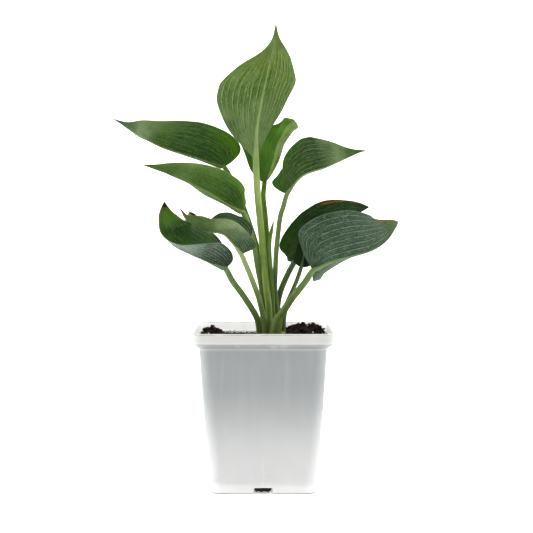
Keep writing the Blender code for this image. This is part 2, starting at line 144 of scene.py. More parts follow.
def shade(red, green, blue):
    """A colour given in the eye's 0 to 255 steps, as the shader's linear one."""
    steps = np.array([red, green, blue]) / 255.0
    low = steps / 12.92
    high = ((steps + 0.055) / 1.055) ** 2.4
    return tuple(float(c) for c in np.where(steps <= 0.04045, low, high))


def finish_for(name, roughness, **fixed):
    """A new material: the shader that ends it, and a Sap to start its nodes from."""
    made = bpy.data.materials.new(name)
    made.use_nodes = True
    shader = made.node_tree.nodes["Principled BSDF"]
    shader.inputs["Roughness"].default_value = roughness
    for key, value in fixed.items():
        shader.inputs[key.replace("_", " ")].default_value = value
    return made, shader, Sap(made.node_tree)


def grain(sap, where, scale, detail=3.0, roughness=0.55):
    """Cloudy noise, 0 to 1, over the given coordinates."""
    return sap.node("ShaderNodeTexNoise", {},
                    {"Vector": where, "Scale": scale, "Detail": detail, "Roughness": roughness})


def relief(sap, height, distance, strength=1.0):
    """A bump from a height of 0 to 1 that stands up to distance, in metres."""
    return sap.node("ShaderNodeBump", {}, {"Strength": strength, "Distance": distance, "Height": height})


def solid(name, verts, faces, material):
    """An object at the origin from an array of corners and a list or array of faces."""
    mesh = bpy.data.meshes.new(name)
    rows = faces.tolist() if isinstance(faces, np.ndarray) else faces
    mesh.from_pydata(np.asarray(verts).tolist(), [], rows)
    mesh.materials.append(material)
    mesh.shade_smooth()
    made = bpy.data.objects.new(name, mesh)
    bpy.context.scene.collection.objects.link(made)
    return made


def ring_quads(rings, sides):
    """Quads between one ring of corners and the next, faces outward where rings climb."""
    start = np.arange(rings - 1)[:, None] * sides + np.arange(sides)[None, :]
    turn = np.roll(np.arange(sides), -1)[None, :] + np.arange(rings - 1)[:, None] * sides
    return np.stack([start, turn, turn + sides, start + sides], -1).reshape(-1, 4)


def tube_faces(rings, sides):
    """The faces of a stack of rings, closed by one flat face at each end."""
    last = (rings - 1) * sides
    caps = [list(range(sides))[::-1], list(range(last, last + sides))]
    return ring_quads(rings, sides).tolist() + caps


def square_rings(sides, corners, heights, arc=14, flat=10):
    """Square outlines with round corners, one a row: each is a quarter turn of a corner's arc and
    a straight run, four times, scaled by that row's side and corner radius."""
    turn = np.linspace(0, math.pi / 2, arc + 1)
    run = np.linspace(0, 1, flat + 1)[1:-1]
    side = np.asarray(sides)[:, None]
    corner = np.asarray(corners)[:, None]
    inner = side / 2 - corner
    across = []
    along = []
    for quarter in range(4):
        c, s = math.cos(quarter * math.pi / 2), math.sin(quarter * math.pi / 2)
        x = inner + corner * np.cos(turn)
        y = inner + corner * np.sin(turn)
        x = np.hstack([x, inner - 2 * inner * run])
        y = np.hstack([y, inner + corner + 0 * run])
        across.append(c * x - s * y)
        along.append(s * x + c * y)
    x = np.hstack(across)
    y = np.hstack(along)
    z = np.asarray(heights)[:, None] + 0 * x
    return np.stack([x, y, z], -1)


def carve(piece, tool):
    """Cuts tool out of piece and drops the tool."""
    cut = piece.modifiers.new("cut", "BOOLEAN")
    cut.solver = "EXACT"
    cut.object = tool
    graph = bpy.context.evaluated_depsgraph_get()
    result = bpy.data.meshes.new_from_object(piece.evaluated_get(graph))
    piece.modifiers.clear()
    piece.data = result
    bpy.data.objects.remove(tool)


def trough(along_x):
    """The drainage channel's shape: a bar with sloping sides, across the foot."""
    across = np.array([-0.01012, 0.01012, 0.0085, -0.0085])
    up = np.array([-0.001, -0.001, 0.006, 0.006])
    reach = np.array([-0.08, 0.08])[:, None] + 0 * across
    wide = across + 0 * reach
    tall = up + 0 * reach
    order = (reach, wide, tall) if along_x else (-wide, reach, tall)
    corners = np.stack(order, -1).reshape(-1, 3)
    return corners, tube_faces(2, 4)


pot_outline = [
    # side, corner radius, height: up the outside, over the lip, down the inside
    (0.0985, 0.0108, 0.0000), (0.1002, 0.0116, 0.0004), (0.1011, 0.0120, 0.0014), (0.1040, 0.0120, 0.024),
    (0.1085, 0.0120, 0.060), (0.1130, 0.0120, 0.096), (0.1176, 0.0120, 0.1325), (0.1180, 0.0118, 0.1346),
    (0.1192, 0.0114, 0.1358), (0.1278, 0.0096, 0.1396), (0.1294, 0.0092, 0.1402), (0.1300, 0.0090, 0.1412),
    (0.1300, 0.0090, 0.1440), (0.1300, 0.0090, 0.1486), (0.1298, 0.0089, 0.1495), (0.1292, 0.0086, 0.1500),
    (0.1284, 0.0082, 0.1500), (0.1279, 0.0080, 0.1497), (0.1276, 0.0078, 0.1490), (0.1270, 0.0075, 0.1412),
    (0.1262, 0.0075, 0.1404), (0.1160, 0.0100, 0.1366), (0.1150, 0.0104, 0.1352), (0.1100, 0.0105, 0.096),
    (0.1055, 0.0105, 0.060), (0.1010, 0.0105, 0.024), (0.0990, 0.0105, 0.0098), (0.0960, 0.0100, 0.0084),
    (0.0600, 0.0060, 0.0080), (0.0200, 0.0020, 0.0080),
]
pot_rings = square_rings(*zip(*pot_outline))
pot_corners = pot_rings.reshape(-1, 3)
# The foot stands on its corners and bows up a hair between them, as thin moulded walls do.
foot_height = 0.0015
foot_bow = 0.0007
cornerness = np.clip(np.abs(pot_corners[:, 0] * pot_corners[:, 1]) / 0.0025, 0, 1)
bowed = pot_corners[:, 2] + foot_bow * (1 - cornerness)
pot_corners[:, 2] = np.where(pot_corners[:, 2] < foot_height, bowed, pot_corners[:, 2])

pot_plastic, pot_shader, start = finish_for("white_pot_plastic", 0.42, IOR=1.49, Subsurface_Weight=0.85,
                                           Subsurface_Scale=0.006, Subsurface_Radius=(1.0, 1.0, 1.0))
place = start.place()
across_x, across_y, height = place.split()
clouds = grain(start, place, 22.0)
specks = grain(start, place, 420.0, 2.0)
streaky = start.node("ShaderNodeVectorMath", {"operation": "MULTIPLY"}, {0: place, 1: (1.0, 1.0, 0.07)})
drips = grain(start, streaky, 90.0, 4.0)
scuffs = (specks.rise(0.66, 0.74)) * (1 - height.rise(0.0, 0.05)) * 0.5
seam_x = 1 - abs(across_x).rise(0.0002, 0.0008)
seam_y = 1 - abs(across_y).rise(0.0002, 0.0008)
seam = (seam_x + seam_y) * (1 - height.rise(0.020, 0.040)) * height.rise(0.0060, 0.0068)
tone = clouds.rise(0.2, 0.8).blend(shade(236, 238, 237), shade(244, 245, 243))
# Painted shade: the body greys towards the top, most where the rim and the leaves shade it.
painted_top_shade = height.rise(0.002, 0.108) * (1 - height.rise(0.1335, 0.1365)) * (0.88 + drips * 0.24)
tone = (painted_top_shade * 0.9).blend(tone, shade(158, 161, 163))
# Painted shade: the sloping ledge under the rim is greyed, as it lies in shade.
painted_ledge_shade = height.rise(0.1350, 0.1360) * (1 - height.rise(0.1399, 0.1405))
tone = (painted_ledge_shade * 0.9).blend(tone, shade(132, 138, 138))
# Painted shade: the outside of the rim band is greyed below the pot's own white.
outer = abs(across_x).rise(0.0640, 0.0644) + abs(across_y).rise(0.0640, 0.0644)
outer = (outer + (abs(across_x) + abs(across_y)).rise(0.1232, 0.1240)).rise(0.0, 1.0)
painted_band_shade = height.rise(0.1405, 0.1410) * outer
tone = (painted_band_shade * 0.8).blend(tone, shade(186, 187, 184))
# Painted shadow: dark lines where the rim band meets the ledge and where the ledge meets the body, broken by
# the streak noise.
crease_shadow = height.rise(0.1396, 0.1401) * (1 - height.rise(0.1404, 0.1410))
crease_shadow = crease_shadow + height.rise(0.1342, 0.1346) * (1 - height.rise(0.1352, 0.1358)) * 0.5
tone = (crease_shadow * (0.35 + drips * 0.5)).blend(tone, shade(112, 110, 104))
# Painted shade: a thin dark line round the top of the lip, broken by the streak noise.
lip_shade_line = height.rise(0.1484, 0.1487) * (1 - height.rise(0.1491, 0.1494))
tone = (lip_shade_line * drips.rise(0.30, 0.62) * 0.55).blend(tone, shade(120, 112, 102))
# Painted contact shadow: a dark line round the bottom of the foot where it stands on the floor.
contact_shadow = 1 - height.rise(0.0005, 0.0013)
tone = (contact_shadow * 0.8).blend(tone, shade(84, 80, 74))
tone = (drips.rise(0.52, 0.80) * 0.30).blend(tone, shade(210, 212, 208))
tone = (scuffs * 0.35).blend(tone, shade(176, 172, 160))
tone = (seam * 0.7).blend(tone, shade(246, 247, 246))
uneven = clouds * 0.5 + drips * 0.3 + specks * 0.10
start.end(pot_shader, tone, relief(start, uneven, 0.00025, 0.5), 0.36 + clouds * 0.12 + specks * 0.06)

pot = solid("pot_shell", pot_corners, tube_faces(*pot_rings.shape[:2]), pot_plastic)
for along_x in (True, False):
    corners, faces = trough(along_x)
    carve(pot, solid("channel", corners, faces, pot_plastic))
pot.data.set_sharp_from_angle(angle=math.radians(32))
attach(pot, "root")
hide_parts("pot")

# --- The potting soil ---------------------------------------------------------------------------
# A loose mix of dark peat and shredded bark, heaped a little at the back of the pot and settled
# lower on the left. Its surface is rough with crumbs and chips, with a few perlite grains.


stem_x = 0.0075  # where the crown stands, a little right of the middle


def rumple(x, y, size, seed):
    """Smooth random ground, about -1 to 1: waves of one length in many random directions, added."""
    draw = np.random.default_rng(seed)
    total = 0 * x
    for _ in range(14):
        angle = draw.uniform(0, 2 * math.pi)
        pitch = 2 * math.pi / (size * draw.uniform(0.7, 1.4))
        total = total + np.sin(pitch * (x * math.cos(angle) + y * math.sin(angle)) + draw.uniform(0, 6.3))
    return total / 5.0


def soil_level(x, y):
    """Height of the soil: the settled level, a flat patch round the crown, two heaps and a hollow."""
    right_heap = 0.0086 * np.exp(-((x - 0.041) / 0.019) ** 4 - ((y - 0.042) / 0.018) ** 2)
    left_heap = 0.0050 * np.exp(-((x + 0.052) / 0.009) ** 2 - ((y - 0.048) / 0.014) ** 2)
    hollow = 0.0055 * np.exp(-((x + 0.022) / 0.017) ** 4 - ((y - 0.062) / 0.026) ** 2)
    open_soil = 0.1400 + right_heap + left_heap - hollow
    near = np.clip((np.hypot(x - stem_x, y) - 0.017) / 0.008, 0, 1)
    smooth = 0.1418 * (1 - near) + open_soil * near
    level = smooth + 0.0007 * rumple(x, y, 0.016, 3) + 0.0005 * rumple(x, y, 0.006, 4) * near
    # Round the edge the soil lies on the sloping inside of the pot's ledge.
    edge = np.maximum(np.abs(x), np.abs(y))
    on_ledge = 0.1373 + 0.75 * np.clip(edge - 0.0580, 0, None)
    return np.where(edge > 0.0562, np.maximum(level, on_ledge), level)


soil_shares = np.concatenate([[0.99, 1.0], np.linspace(0.985, 0.01, 60)])
soil_top = square_rings(0.1216 * soil_shares, 0.012 * soil_shares, 0 * soil_shares, 10, 26)
soil_top[2:, :, 2] = soil_level(soil_top[2:, :, 0], soil_top[2:, :, 1])
crumbs = 0.00035 * rumple(soil_top[..., 0], soil_top[..., 1], 0.0026, 5)
soil_top[2:, :, 2] += crumbs[2:]
soil_top[1, :, 2] = soil_top[2, :, 2] - 0.0012
soil_top[0, :, 2] = 0.1376
soil_base = square_rings([0.1000, 0.1142], [0.0095, 0.0098], [0.0086, 0.1362], 10, 26)
soil_rings = np.concatenate([soil_base, soil_top])

peat, peat_shader, start = finish_for("damp_peat", 0.95, Specular_IOR_Level=0.2)
place = start.place()
fine = grain(start, place, 900.0, 4.0, 0.7)
coarse = grain(start, place, 170.0, 4.0)
tone = coarse.rise(0.3, 0.7).blend(shade(22, 16, 13), shade(46, 33, 26))
tone = (fine.rise(0.58, 0.72) * 0.6).blend(tone, shade(82, 60, 44))
start.end(peat_shader, tone, relief(start, fine * 0.6 + coarse * 0.8, 0.0012))
soil = solid("soil_surface", soil_rings.reshape(-1, 3), tube_faces(*soil_rings.shape[:2]), peat)
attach(soil, "root")
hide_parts("potting_soil")


def knobs():
    """A 12-corner, 20-face lump of radius 1, the start of every chip and crumb."""
    g = (1 + math.sqrt(5)) / 2
    corners = np.array([(-1, g, 0), (1, g, 0), (-1, -g, 0), (1, -g, 0), (0, -1, g), (0, 1, g),
                        (0, -1, -g), (0, 1, -g), (g, 0, -1), (g, 0, 1), (-g, 0, -1), (-g, 0, 1)])
    faces = np.array([(0, 11, 5), (0, 5, 1), (0, 1, 7), (0, 7, 10), (0, 10, 11), (1, 5, 9), (5, 11, 4),
                      (11, 10, 2), (10, 7, 6), (7, 1, 8), (3, 9, 4), (3, 4, 2), (3, 2, 6), (3, 6, 8),
                      (3, 8, 9), (4, 9, 5), (2, 4, 11), (6, 2, 10), (8, 6, 7), (9, 8, 1)])
    return corners / math.sqrt(1 + g * g), faces


def scattered(name, spots, sizes, material, seed, jitter=0.28):
    """Many lumps in one mesh: each is the knob, stretched to its size, roughened corner by corner,
    turned at random and set on its spot. A tone number for each is kept for the material."""
    draw = np.random.default_rng(seed)
    corners, faces = knobs()
    count = len(spots)
    lumps = corners[None] * (1 + draw.uniform(-jitter, jitter, (count, 12, 1))) * sizes[:, None, :]
    axis = draw.normal(size=(count, 4))
    w, x, y, z = (axis / np.linalg.norm(axis, axis=1, keepdims=True)).T
    turn = np.stack([1 - 2 * (y * y + z * z), 2 * (x * y - z * w), 2 * (x * z + y * w),
                     2 * (x * y + z * w), 1 - 2 * (x * x + z * z), 2 * (y * z - x * w),
                     2 * (x * z - y * w), 2 * (y * z + x * w), 1 - 2 * (x * x + y * y)], -1).reshape(-1, 3, 3)
    lumps = np.einsum("nij,nkj->nki", turn, lumps) + spots[:, None, :]
    all_faces = (faces[None] + 12 * np.arange(count)[:, None, None]).reshape(-1, 3)
    made = solid(name, lumps.reshape(-1, 3), all_faces, material)
    tone_of = made.data.attributes.new("tone", "FLOAT", "POINT")
    tone_of.data.foreach_set("value", np.repeat(draw.uniform(0, 1, count), 12))
    made.data.shade_flat()
    return made


def chip_finish(name, dark, light):
    """Dry fibrous stuff between two tones, each lump by its own tone number."""
    made, shader, start = finish_for(name, 0.9, Specular_IOR_Level=0.25)
    tone_of = start.node("ShaderNodeAttribute", {"attribute_name": "tone"}, {}, 2)
    place = start.place()
    fibre = grain(start, place, 1100.0, 3.0)
    tone = (tone_of * 0.75 + fibre * 0.35).rise(0.15, 1.05).blend(dark, light)
    start.end(shader, tone, relief(start, fibre, 0.0004))
    return made


def soil_spots(count, seed, keep_clear=0.0165):
    """Places on the soil inside the pot, clear of the crown."""
    draw = np.random.default_rng(seed)
    x = draw.uniform(-0.0600, 0.0600, count)
    y = draw.uniform(-0.0600, 0.0600, count)
    open_ground = np.hypot(x - stem_x, y) > keep_clear
    x, y = x[open_ground], y[open_ground]
    return x, y, draw


x, y, draw = soil_spots(1500, 21)
length = 0.0008 + 0.0024 * draw.uniform(0, 1, len(x)) ** 2.2
broad = length * draw.uniform(0.35, 0.8, len(x))
thin = length * draw.uniform(0.25, 0.6, len(x))
sizes = np.stack([length, broad, thin], -1)
level = soil_level(x, y) + 0.25 * length
chips = scattered("bark_chips", np.stack([x, y, level], -1), sizes, chip_finish(
    "shredded_bark", shade(20, 14, 11), shade(74, 52, 38)), 22)
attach(chips, "root")

x, y, draw = soil_spots(60, 31)
length = 0.0007 + 0.0007 * draw.uniform(0, 1, len(x))
sizes = np.stack([length, length * 0.9, length * 0.8], -1)
perlite = scattered("perlite_grains", np.stack([x, y, soil_level(x, y) + 0.0008], -1), sizes, chip_finish(
    "perlite", shade(205, 200, 188), shade(240, 238, 230)), 32, 0.2)
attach(perlite, "root")

# --- Mix and painted shade in the drainage channels ----------------------------------------------
# Fine dark mix washed down through the pot: lumps of peat along both channels, most of the way out
# from where they cross under it. The dark fill also stands in as painted shade for the recess under the foot.

draw = np.random.default_rng(61)
lump_count = 900
lump_radius = 0.0018
reach = draw.uniform(-0.0455, 0.0455, lump_count)
spread = draw.uniform(-0.0068, 0.0068, lump_count)
along_x = np.arange(lump_count) % 2 == 0
channel_fill_spots = np.stack([np.where(along_x, reach, spread), np.where(along_x, spread, reach),
                   draw.uniform(0.0022, 0.0036, lump_count)], -1)
dark_channel_peat, dark_channel_peat_shader, start = finish_for("washed_peat_and_shade", 0.8)
place = start.place()
crumbs = grain(start, place, 900.0, 4.0, 0.6)
tone = crumbs.rise(0.3, 0.75).blend(shade(26, 20, 17), shade(70, 54, 42))
start.end(dark_channel_peat_shader, tone, relief(start, crumbs, 0.0004, 0.8), 0.7 + crumbs * 0.2)
channel_mix_and_shade = scattered("channel_mix_and_shade", channel_fill_spots, np.full((lump_count, 3), lump_radius), dark_channel_peat, 62)
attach(channel_mix_and_shade, "root")

# --- The crown ----------------------------------------------------------------------------------
# The short thick stem base at the soil, where every stalk begins. It is pale and papery, ringed
# with the torn feet of old sheaths.

crown_low, crown_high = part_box("crown")
crown_middle = [(a + b) / 2 for a, b in zip(crown_low, crown_high)]
turn = np.linspace(0, 2 * math.pi, 72, endpoint=False)
# share of the full width, share of the full height: from the foot to the top
crown_profile = np.array([(0.80, 0.0), (0.97, 0.12), (1.0, 0.35), (0.97, 0.62), (0.90, 0.85), (0.72, 1.02),
                          (0.45, 1.10), (0.12, 1.12)])
lumpy = 1 + 0.05 * np.sin(5 * turn + 0.6) + 0.03 * np.sin(11 * turn)
reach_x = (crown_high[0] - crown_low[0]) / 2 * crown_profile[:, :1] * lumpy
reach_y = (crown_high[1] - crown_low[1]) / 2 * crown_profile[:, :1] * lumpy
crown_slim = 0.82  # the round crown inside its box, so that the stalk feet stand out round it
crown_x = crown_middle[0] + crown_slim * reach_x * np.cos(turn)
crown_y = crown_middle[1] + crown_slim * reach_y * np.sin(turn)
crown_z = crown_low[2] + (crown_high[2] - crown_low[2]) * crown_profile[:, 1:] + 0 * reach_x
crown_points = np.stack([crown_x, crown_y, crown_z], -1)
crown_skin, crown_shader, start = finish_for("papery_crown", 0.8)
place = start.place()
fibre = grain(start, place, 600.0, 4.0)
tone = fibre.rise(0.3, 0.7).blend(shade(96, 84, 48), shade(176, 160, 112))
start.end(crown_shader, tone, relief(start, fibre, 0.0008))
crown_faces = tube_faces(*crown_points.shape[:2])
crown = solid("crown_base", crown_points.reshape(-1, 3), crown_faces, crown_skin)
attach(crown, "root")
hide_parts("crown")

# --- The top leaf -------------------------------------------------------------------------------
# The tallest leaf stands upright with its back to the front: a broad pointed blade, pale beneath,
# with raised veins that leave the stalk together and meet again at the drawn-out tip. Its stalk
# is grooved on the inner side and widens to a sheath where it grows from the crown.


def unit(rows):
    """Each vector at length 1."""
    return rows / np.linalg.norm(rows, axis=-1, keepdims=True)


def smooth_curve(points, steps=240):
    """A cubic through every point, sampled evenly in each span, with its running length."""
    p = np.asarray(points, float) * 0.001
    p = np.vstack([2 * p[0] - p[1], p, 2 * p[-1] - p[-2]])
    t = np.linspace(0, 1, max(2, steps // (len(p) - 3)), endpoint=False)[None, :, None]
    p0, p1, p2, p3 = p[:-3, None], p[1:-2, None], p[2:-1, None], p[3:, None]
    spans = 0.5 * (2 * p1 + (p2 - p0) * t + (2 * p0 - 5 * p1 + 4 * p2 - p3) * t ** 2
                   + (3 * p1 - p0 - 3 * p2 + p3) * t ** 3)
    curve = np.vstack([spans.reshape(-1, 3), p[-2][None]])
    run = np.r_[0, np.cumsum(np.linalg.norm(np.diff(curve, axis=0), axis=1))]
    return curve, run


def along(curve, run, s):
    """The curve's points at the lengths s."""
    return np.stack([np.interp(s, run, curve[:, k]) for k in range(3)], -1)


def bend(three, t):
    """A value that starts at the first, ends at the third and is drawn towards the second."""
    return (1 - t) ** 2 * three[0] + 2 * t * (1 - t) * three[1] + t * t * three[2]


def width_at(values, u):
    """Half width between stations along the midrib: a cubic that never overshoots them."""
    stations = np.array([0, 0.05, 0.12, 0.22, 0.35, 0.5, 0.65, 0.8, 0.9, 1.0])
    v = np.asarray(values, float) * 0.001
    slope = np.gradient(v, stations)
    i = np.clip(np.searchsorted(stations, u, side="right") - 1, 0, len(stations) - 2)
    h = stations[i + 1] - stations[i]
    t = (u - stations[i]) / h
    d = (v[i + 1] - v[i]) / h
    m0 = np.clip(slope[i], np.minimum(0, 3 * d), np.maximum(0, 3 * d))
    m1 = np.clip(slope[i + 1], np.minimum(0, 3 * d), np.maximum(0, 3 * d))
    ends = (2 * t ** 3 - 3 * t ** 2 + 1) * v[i] + (3 * t ** 2 - 2 * t ** 3) * v[i + 1]
    return ends + (t ** 3 - 2 * t ** 2 + t) * h * m0 + (t ** 3 - t ** 2) * h * m1


def blade_surface(leaf, rows=150, columns=97, thickness=0.0006, veins=8, furrow=0.00030):
    """The blade as a function of u along the midrib and v from margin to margin. A point starts
    on the midrib, goes out sideways by its share of the half width along an arc that lifts by
    the fold and turns by the curl, and slides back near the stalk to make the lobe. The sheet
    then dips along each vein and waves a little at the margin."""
    curve, run = smooth_curve(leaf["spine"])
    total = run[-1]
    tangents = unit(np.gradient(curve, run, axis=0))
    u = np.linspace(0.0, 1.0, rows)[:, None] ** 0.92 * 0.998
    v = np.linspace(-1, 1, columns)[None, :]
    is_left = v < 0
    half = np.where(is_left, width_at(leaf["left"], u), width_at(leaf["right"], u))
    # 14.93 and 6.75 bring the peaks of the two humps, near the stalk and near the tip, to 1.
    lobe = np.where(is_left, leaf["lobe"][0], leaf["lobe"][1]) * 14.93 * u * (1 - u) ** 5
    crest = np.where(is_left, leaf["crest"][0], leaf["crest"][1]) * 6.75 * u * u * (1 - u)
    s = total * (u + (crest - lobe) * np.abs(v) ** 1.5)
    inside = np.clip(s, 0, total)
    forward = unit(along(tangents, run, inside))
    centre = along(curve, run, inside) + forward * (s - inside)[..., None]
    facing = [np.asarray(row, float) for row in leaf["facing"]]
    up = bend(facing, (inside / total)[..., None])
    up = unit(up - (up * forward).sum(-1, keepdims=True) * forward)
    side = np.cross(forward, up)
    fold = np.radians(np.where(is_left, bend(leaf["fold"][0], u), bend(leaf["fold"][1], u)))
    curl = np.radians(np.where(is_left, bend(leaf["curl"][0], u), bend(leaf["curl"][1], u)))
    share = np.abs(v) + 0 * u
    middle = columns // 2
    halfway = np.abs(share[:, 1:] + share[:, :-1]) / 2
    angle = (fold[:, 1:] + curl[:, 1:] * halfway ** leaf["roll"])
    left_angle = (fold[:, :-1] + curl[:, :-1] * halfway ** leaf["roll"])
    angle[:, :middle] = left_angle[:, :middle]
    step = np.where(is_left[:, :-1], half[:, :-1], half[:, 1:]) * np.abs(np.diff(v, axis=1))
    reach = step * np.cos(angle)
    lift = step * np.sin(angle)
    out = np.hstack([-np.cumsum(reach[:, middle - 1::-1], axis=1)[:, ::-1], np.zeros((rows, 1)),
                     np.cumsum(reach[:, middle:], axis=1)])
    rise = np.hstack([np.cumsum(lift[:, middle - 1::-1], axis=1)[:, ::-1], np.zeros((rows, 1)),
                      np.cumsum(lift[:, middle:], axis=1)])
    points = centre + side * out[..., None] + up * rise[..., None]
    normals = unit(np.cross(np.gradient(points, axis=1), np.gradient(points, axis=0)))
    normals[0] = normals[1]
    swing = np.sin(2 * math.pi * (2.5 * u + 0.37 * is_left)) * np.sin(math.pi * u)
    wave = 0.0008 * share ** 3 * swing
    room = np.clip(half / 0.012, 0, 1) * np.clip(u / 0.08, 0, 1) * np.clip((1 - share) / 0.06, 0, 1)
    between = np.sin(math.pi * veins * share)
    comb = np.abs(between) ** 0.7 - 0.6
    puckers = 0.35 * np.sin(2 * math.pi * (u * 31 + 3 * share + 2 * is_left)) * between ** 2
    dips = wave + furrow * room * (comb + puckers * leaf["pucker"])
    points = points + normals * dips[..., None]
    thinning = np.clip(half / 0.003, 0.12, 1) * np.clip(1.15 - share ** 6, 0.2, 1)
    offset = normals * thinning[..., None] * thickness / 2
    rib = 0.0011 * np.exp(-(share * half / 0.0013) ** 2) * np.clip(1 - u, 0, 1) ** 0.8
    under = points - offset - normals * rib[..., None]
    return points + offset, under, u + 0 * share, v + 0 * u


def blade_piece(name, leaf, material):
    """Closes the upper and lower faces of the blade round their edge, and keeps u and v as a map."""
    upper, under, u, v = blade_surface(leaf)
    rows, columns = u.shape
    index = np.arange(rows * columns).reshape(rows, columns)
    quads = np.stack([index[:-1, :-1], index[:-1, 1:], index[1:, 1:], index[1:, :-1]], -1).reshape(-1, 4)
    lower = quads[:, ::-1] + rows * columns
    ring = np.concatenate([index[0, :-1], index[:-1, -1], index[-1, :0:-1], index[:0:-1, 0]])
    after = np.roll(ring, -1)
    edge = np.stack([ring, ring + rows * columns, after + rows * columns, after], -1)
    faces = np.vstack([quads, lower, edge])
    made = solid(name, np.vstack([upper.reshape(-1, 3), under.reshape(-1, 3)]), faces, material)
    sheet = np.stack([u.ravel(), (v.ravel() + 1) / 2], -1)
    sheet = np.vstack([sheet, sheet])[faces.ravel()]
    made.data.uv_layers.new(name="sheet").data.foreach_set("uv", sheet.ravel())
    beneath = made.data.attributes.new("beneath", "FLOAT", "POINT")
    beneath.data.foreach_set("value", np.repeat([0.0, 1.0], rows * columns))
    return made


def leaf_shade(red, green, blue):
    """A leaf colour as the eye sees it, with the film of light that its waxy skin adds taken off."""
    seen = shade(red, green, blue)
    grey = sum(seen) / 3
    return tuple(max(0.95 * (grey + 1.08 * (c - grey)) - 0.015, 0.002) for c in seen)


def blade_finish(name, leaf, veins=8):
    """Leaf green from stalk to tip on each face, pale veins in step with the furrows with finer
    ones between, a netting of cross veins, streaks along them, cloudy bloom, a paler rim, and
    brown scorched margins where the leaf has them."""
    look = leaf["look"]
    made, shader, start = finish_for(name, 0.5, Specular_IOR_Level=0.22)
    sheet = start.node("ShaderNodeUVMap", {"uv_map": "sheet"}, {})
    u, w, _ = sheet.split()
    v = abs(w * 2 - 1)
    beneath = start.node("ShaderNodeAttribute", {"attribute_name": "beneath"}, {}, 2)
    place = start.place()
    faces = [look["upper"], look["under"]]
    strips = [u.tinted([(at, leaf_shade(*colour)) for at, colour in stops]) for stops in faces]
    tone = beneath.blend(*strips)
    seed = look["seed"]
    clouds = grain(start, place, 42.0 + 3 * seed, 3.0)
    mottle = grain(start, place, 300.0, 4.0, 0.65)

    def flow(lengthwise, across, layer):
        """Noise stretched along the veins."""
        where = start.node("ShaderNodeCombineXYZ", {}, {0: u * lengthwise, 1: w * across, 2: layer + seed})
        return grain(start, where, 1.0, 3.0, 0.6)

    streaks = flow(6.0, 70.0, 0.0)
    dashes = flow(26.0, 44.0, 5.0)
    threads = flow(16.0, 260.0, 11.0)
    light = leaf_shade(*look["vein"])
    dark = leaf_shade(*look["deep"])
    tone = ((1 - clouds.rise(0.34, 0.60)) * look.get("patchy", 0.55)).blend(tone, dark)
    tone = (streaks.rise(0.48, 0.76) * look["streak"]).blend(tone, light)
    tone = ((1 - streaks.rise(0.28, 0.50)) * 0.45).blend(tone, dark)
    tone = (threads.rise(0.52, 0.78) * 0.22).blend(tone, light)
    tone = ((1 - threads.rise(0.22, 0.48)) * 0.28).blend(tone, dark)
    pitch = abs((v * veins + 0.5).part() - 0.5)
    line = 1 - pitch.rise(0.03, 0.13)
    trough = pitch.rise(0.06, 0.16) * (1 - pitch.rise(0.18, 0.34))
    small_pitch = abs((v * (veins * 3) + 0.5).part() - 0.5)
    hair = (1 - small_pitch.rise(0.08, 0.28)) * dashes.rise(0.35, 0.70)
    fade = (1 - v.rise(0.88, 0.99)) * (1 - u.rise(0.70, 0.98) * 0.6) * dashes.rise(0.22, 0.60)
    strength = beneath * look["veined"] + (1 - beneath) * look.get("veined_above", 0.25)
    # Painted shade: a dark band beside each vein line, on the sides of its furrow.
    tone = (trough * strength * 0.45).blend(tone, dark)
    tone = (hair * strength * 0.40).blend(tone, light)
    tone = (line * fade * strength).blend(tone, light)
    net = start.node("ShaderNodeCombineXYZ", {}, {0: u * 60.0, 1: w * 30.0, 2: 9.0 + seed})
    cells = start.node("ShaderNodeTexVoronoi", {"feature": "DISTANCE_TO_EDGE"}, {"Vector": net, "Scale": 1.0})
    ladder = (1 - cells.rise(0.015, 0.09)) * dashes.rise(0.35, 0.6)
    tone = (ladder * beneath * look.get("ladder", 0.22)).blend(tone, light)
    # Painted highlight: a lighter green along the lobe's margin near the stalk, where it turns to the light.
    if "glow" in look:
        lobe_highlight = (1 - u.rise(0.10, 0.42)) * (v + (clouds - 0.5) * 0.3).rise(0.55, 1.0) * beneath
        tone = (lobe_highlight * 0.65).blend(tone, leaf_shade(*look["glow"]))
    # Painted highlight: a lighter patch on the back towards the margins, from the middle of the blade to
    # short of the tip.
    if "crest_highlight" in look:
        crest = u.rise(0.25, 0.6) * (1 - u.rise(0.8, 1.0)) * beneath
        crest = crest * (v + (clouds - 0.5) * 0.4).rise(0.35, 0.95)
        tone = (crest * 0.5).blend(tone, leaf_shade(*look["crest_highlight"]))
    midrib = (1 - v.rise(0.010, 0.035)) * (1 - u.rise(0.10, 0.85))
    tone = (midrib * (beneath * 0.75 + 0.15)).blend(tone, leaf_shade(*look.get("rib", look["vein"])))
    tone = (v.rise(0.965, 0.995) * look.get("rim", 0.35)).blend(tone, light)
    flecks = grain(start, place, 700.0, 2.0).rise(0.72, 0.80)
    tone = (flecks * 0.35).blend(tone, leaf_shade(150, 138, 84))
    for near, far, side, depth in look.get("scorch", []):
        reach = u.rise(near - 0.03, near + 0.03) * (1 - u.rise(far - 0.03, far + 0.03))
        half = w.rise(0.45, 0.55) if side > 0 else 1 - w.rise(0.45, 0.55)
        edge = v + (mottle - 0.5) * 0.10 + (clouds - 0.5) * 0.12
        amber = reach * half * edge.rise(1 - depth * 2.6, 1 - depth * 1.2)
        tone = (amber * look["amber"]).blend(tone, leaf_shade(178, 142, 46))
        burnt = reach * half * edge.rise(1 - depth * 1.3, 1 - depth * 0.7)
        tone = (burnt * 0.9).blend(tone, leaf_shade(*look["burnt"]))
    if "tip" in look:
        dead = (u + (mottle - 0.5) * 0.02).rise(look["tip"], look["tip"] + 0.02)
        tone = dead.blend(tone, leaf_shade(76, 22, 26))
    ridges = line * fade * 0.5 + threads * 0.25 + mottle * 0.15 + ladder * 0.25 + hair * 0.15
    rough = 0.42 + clouds * 0.14 + (1 - streaks) * 0.08
    start.end(shader, tone, relief(start, ridges, 0.0005, 0.9), rough)
    return made


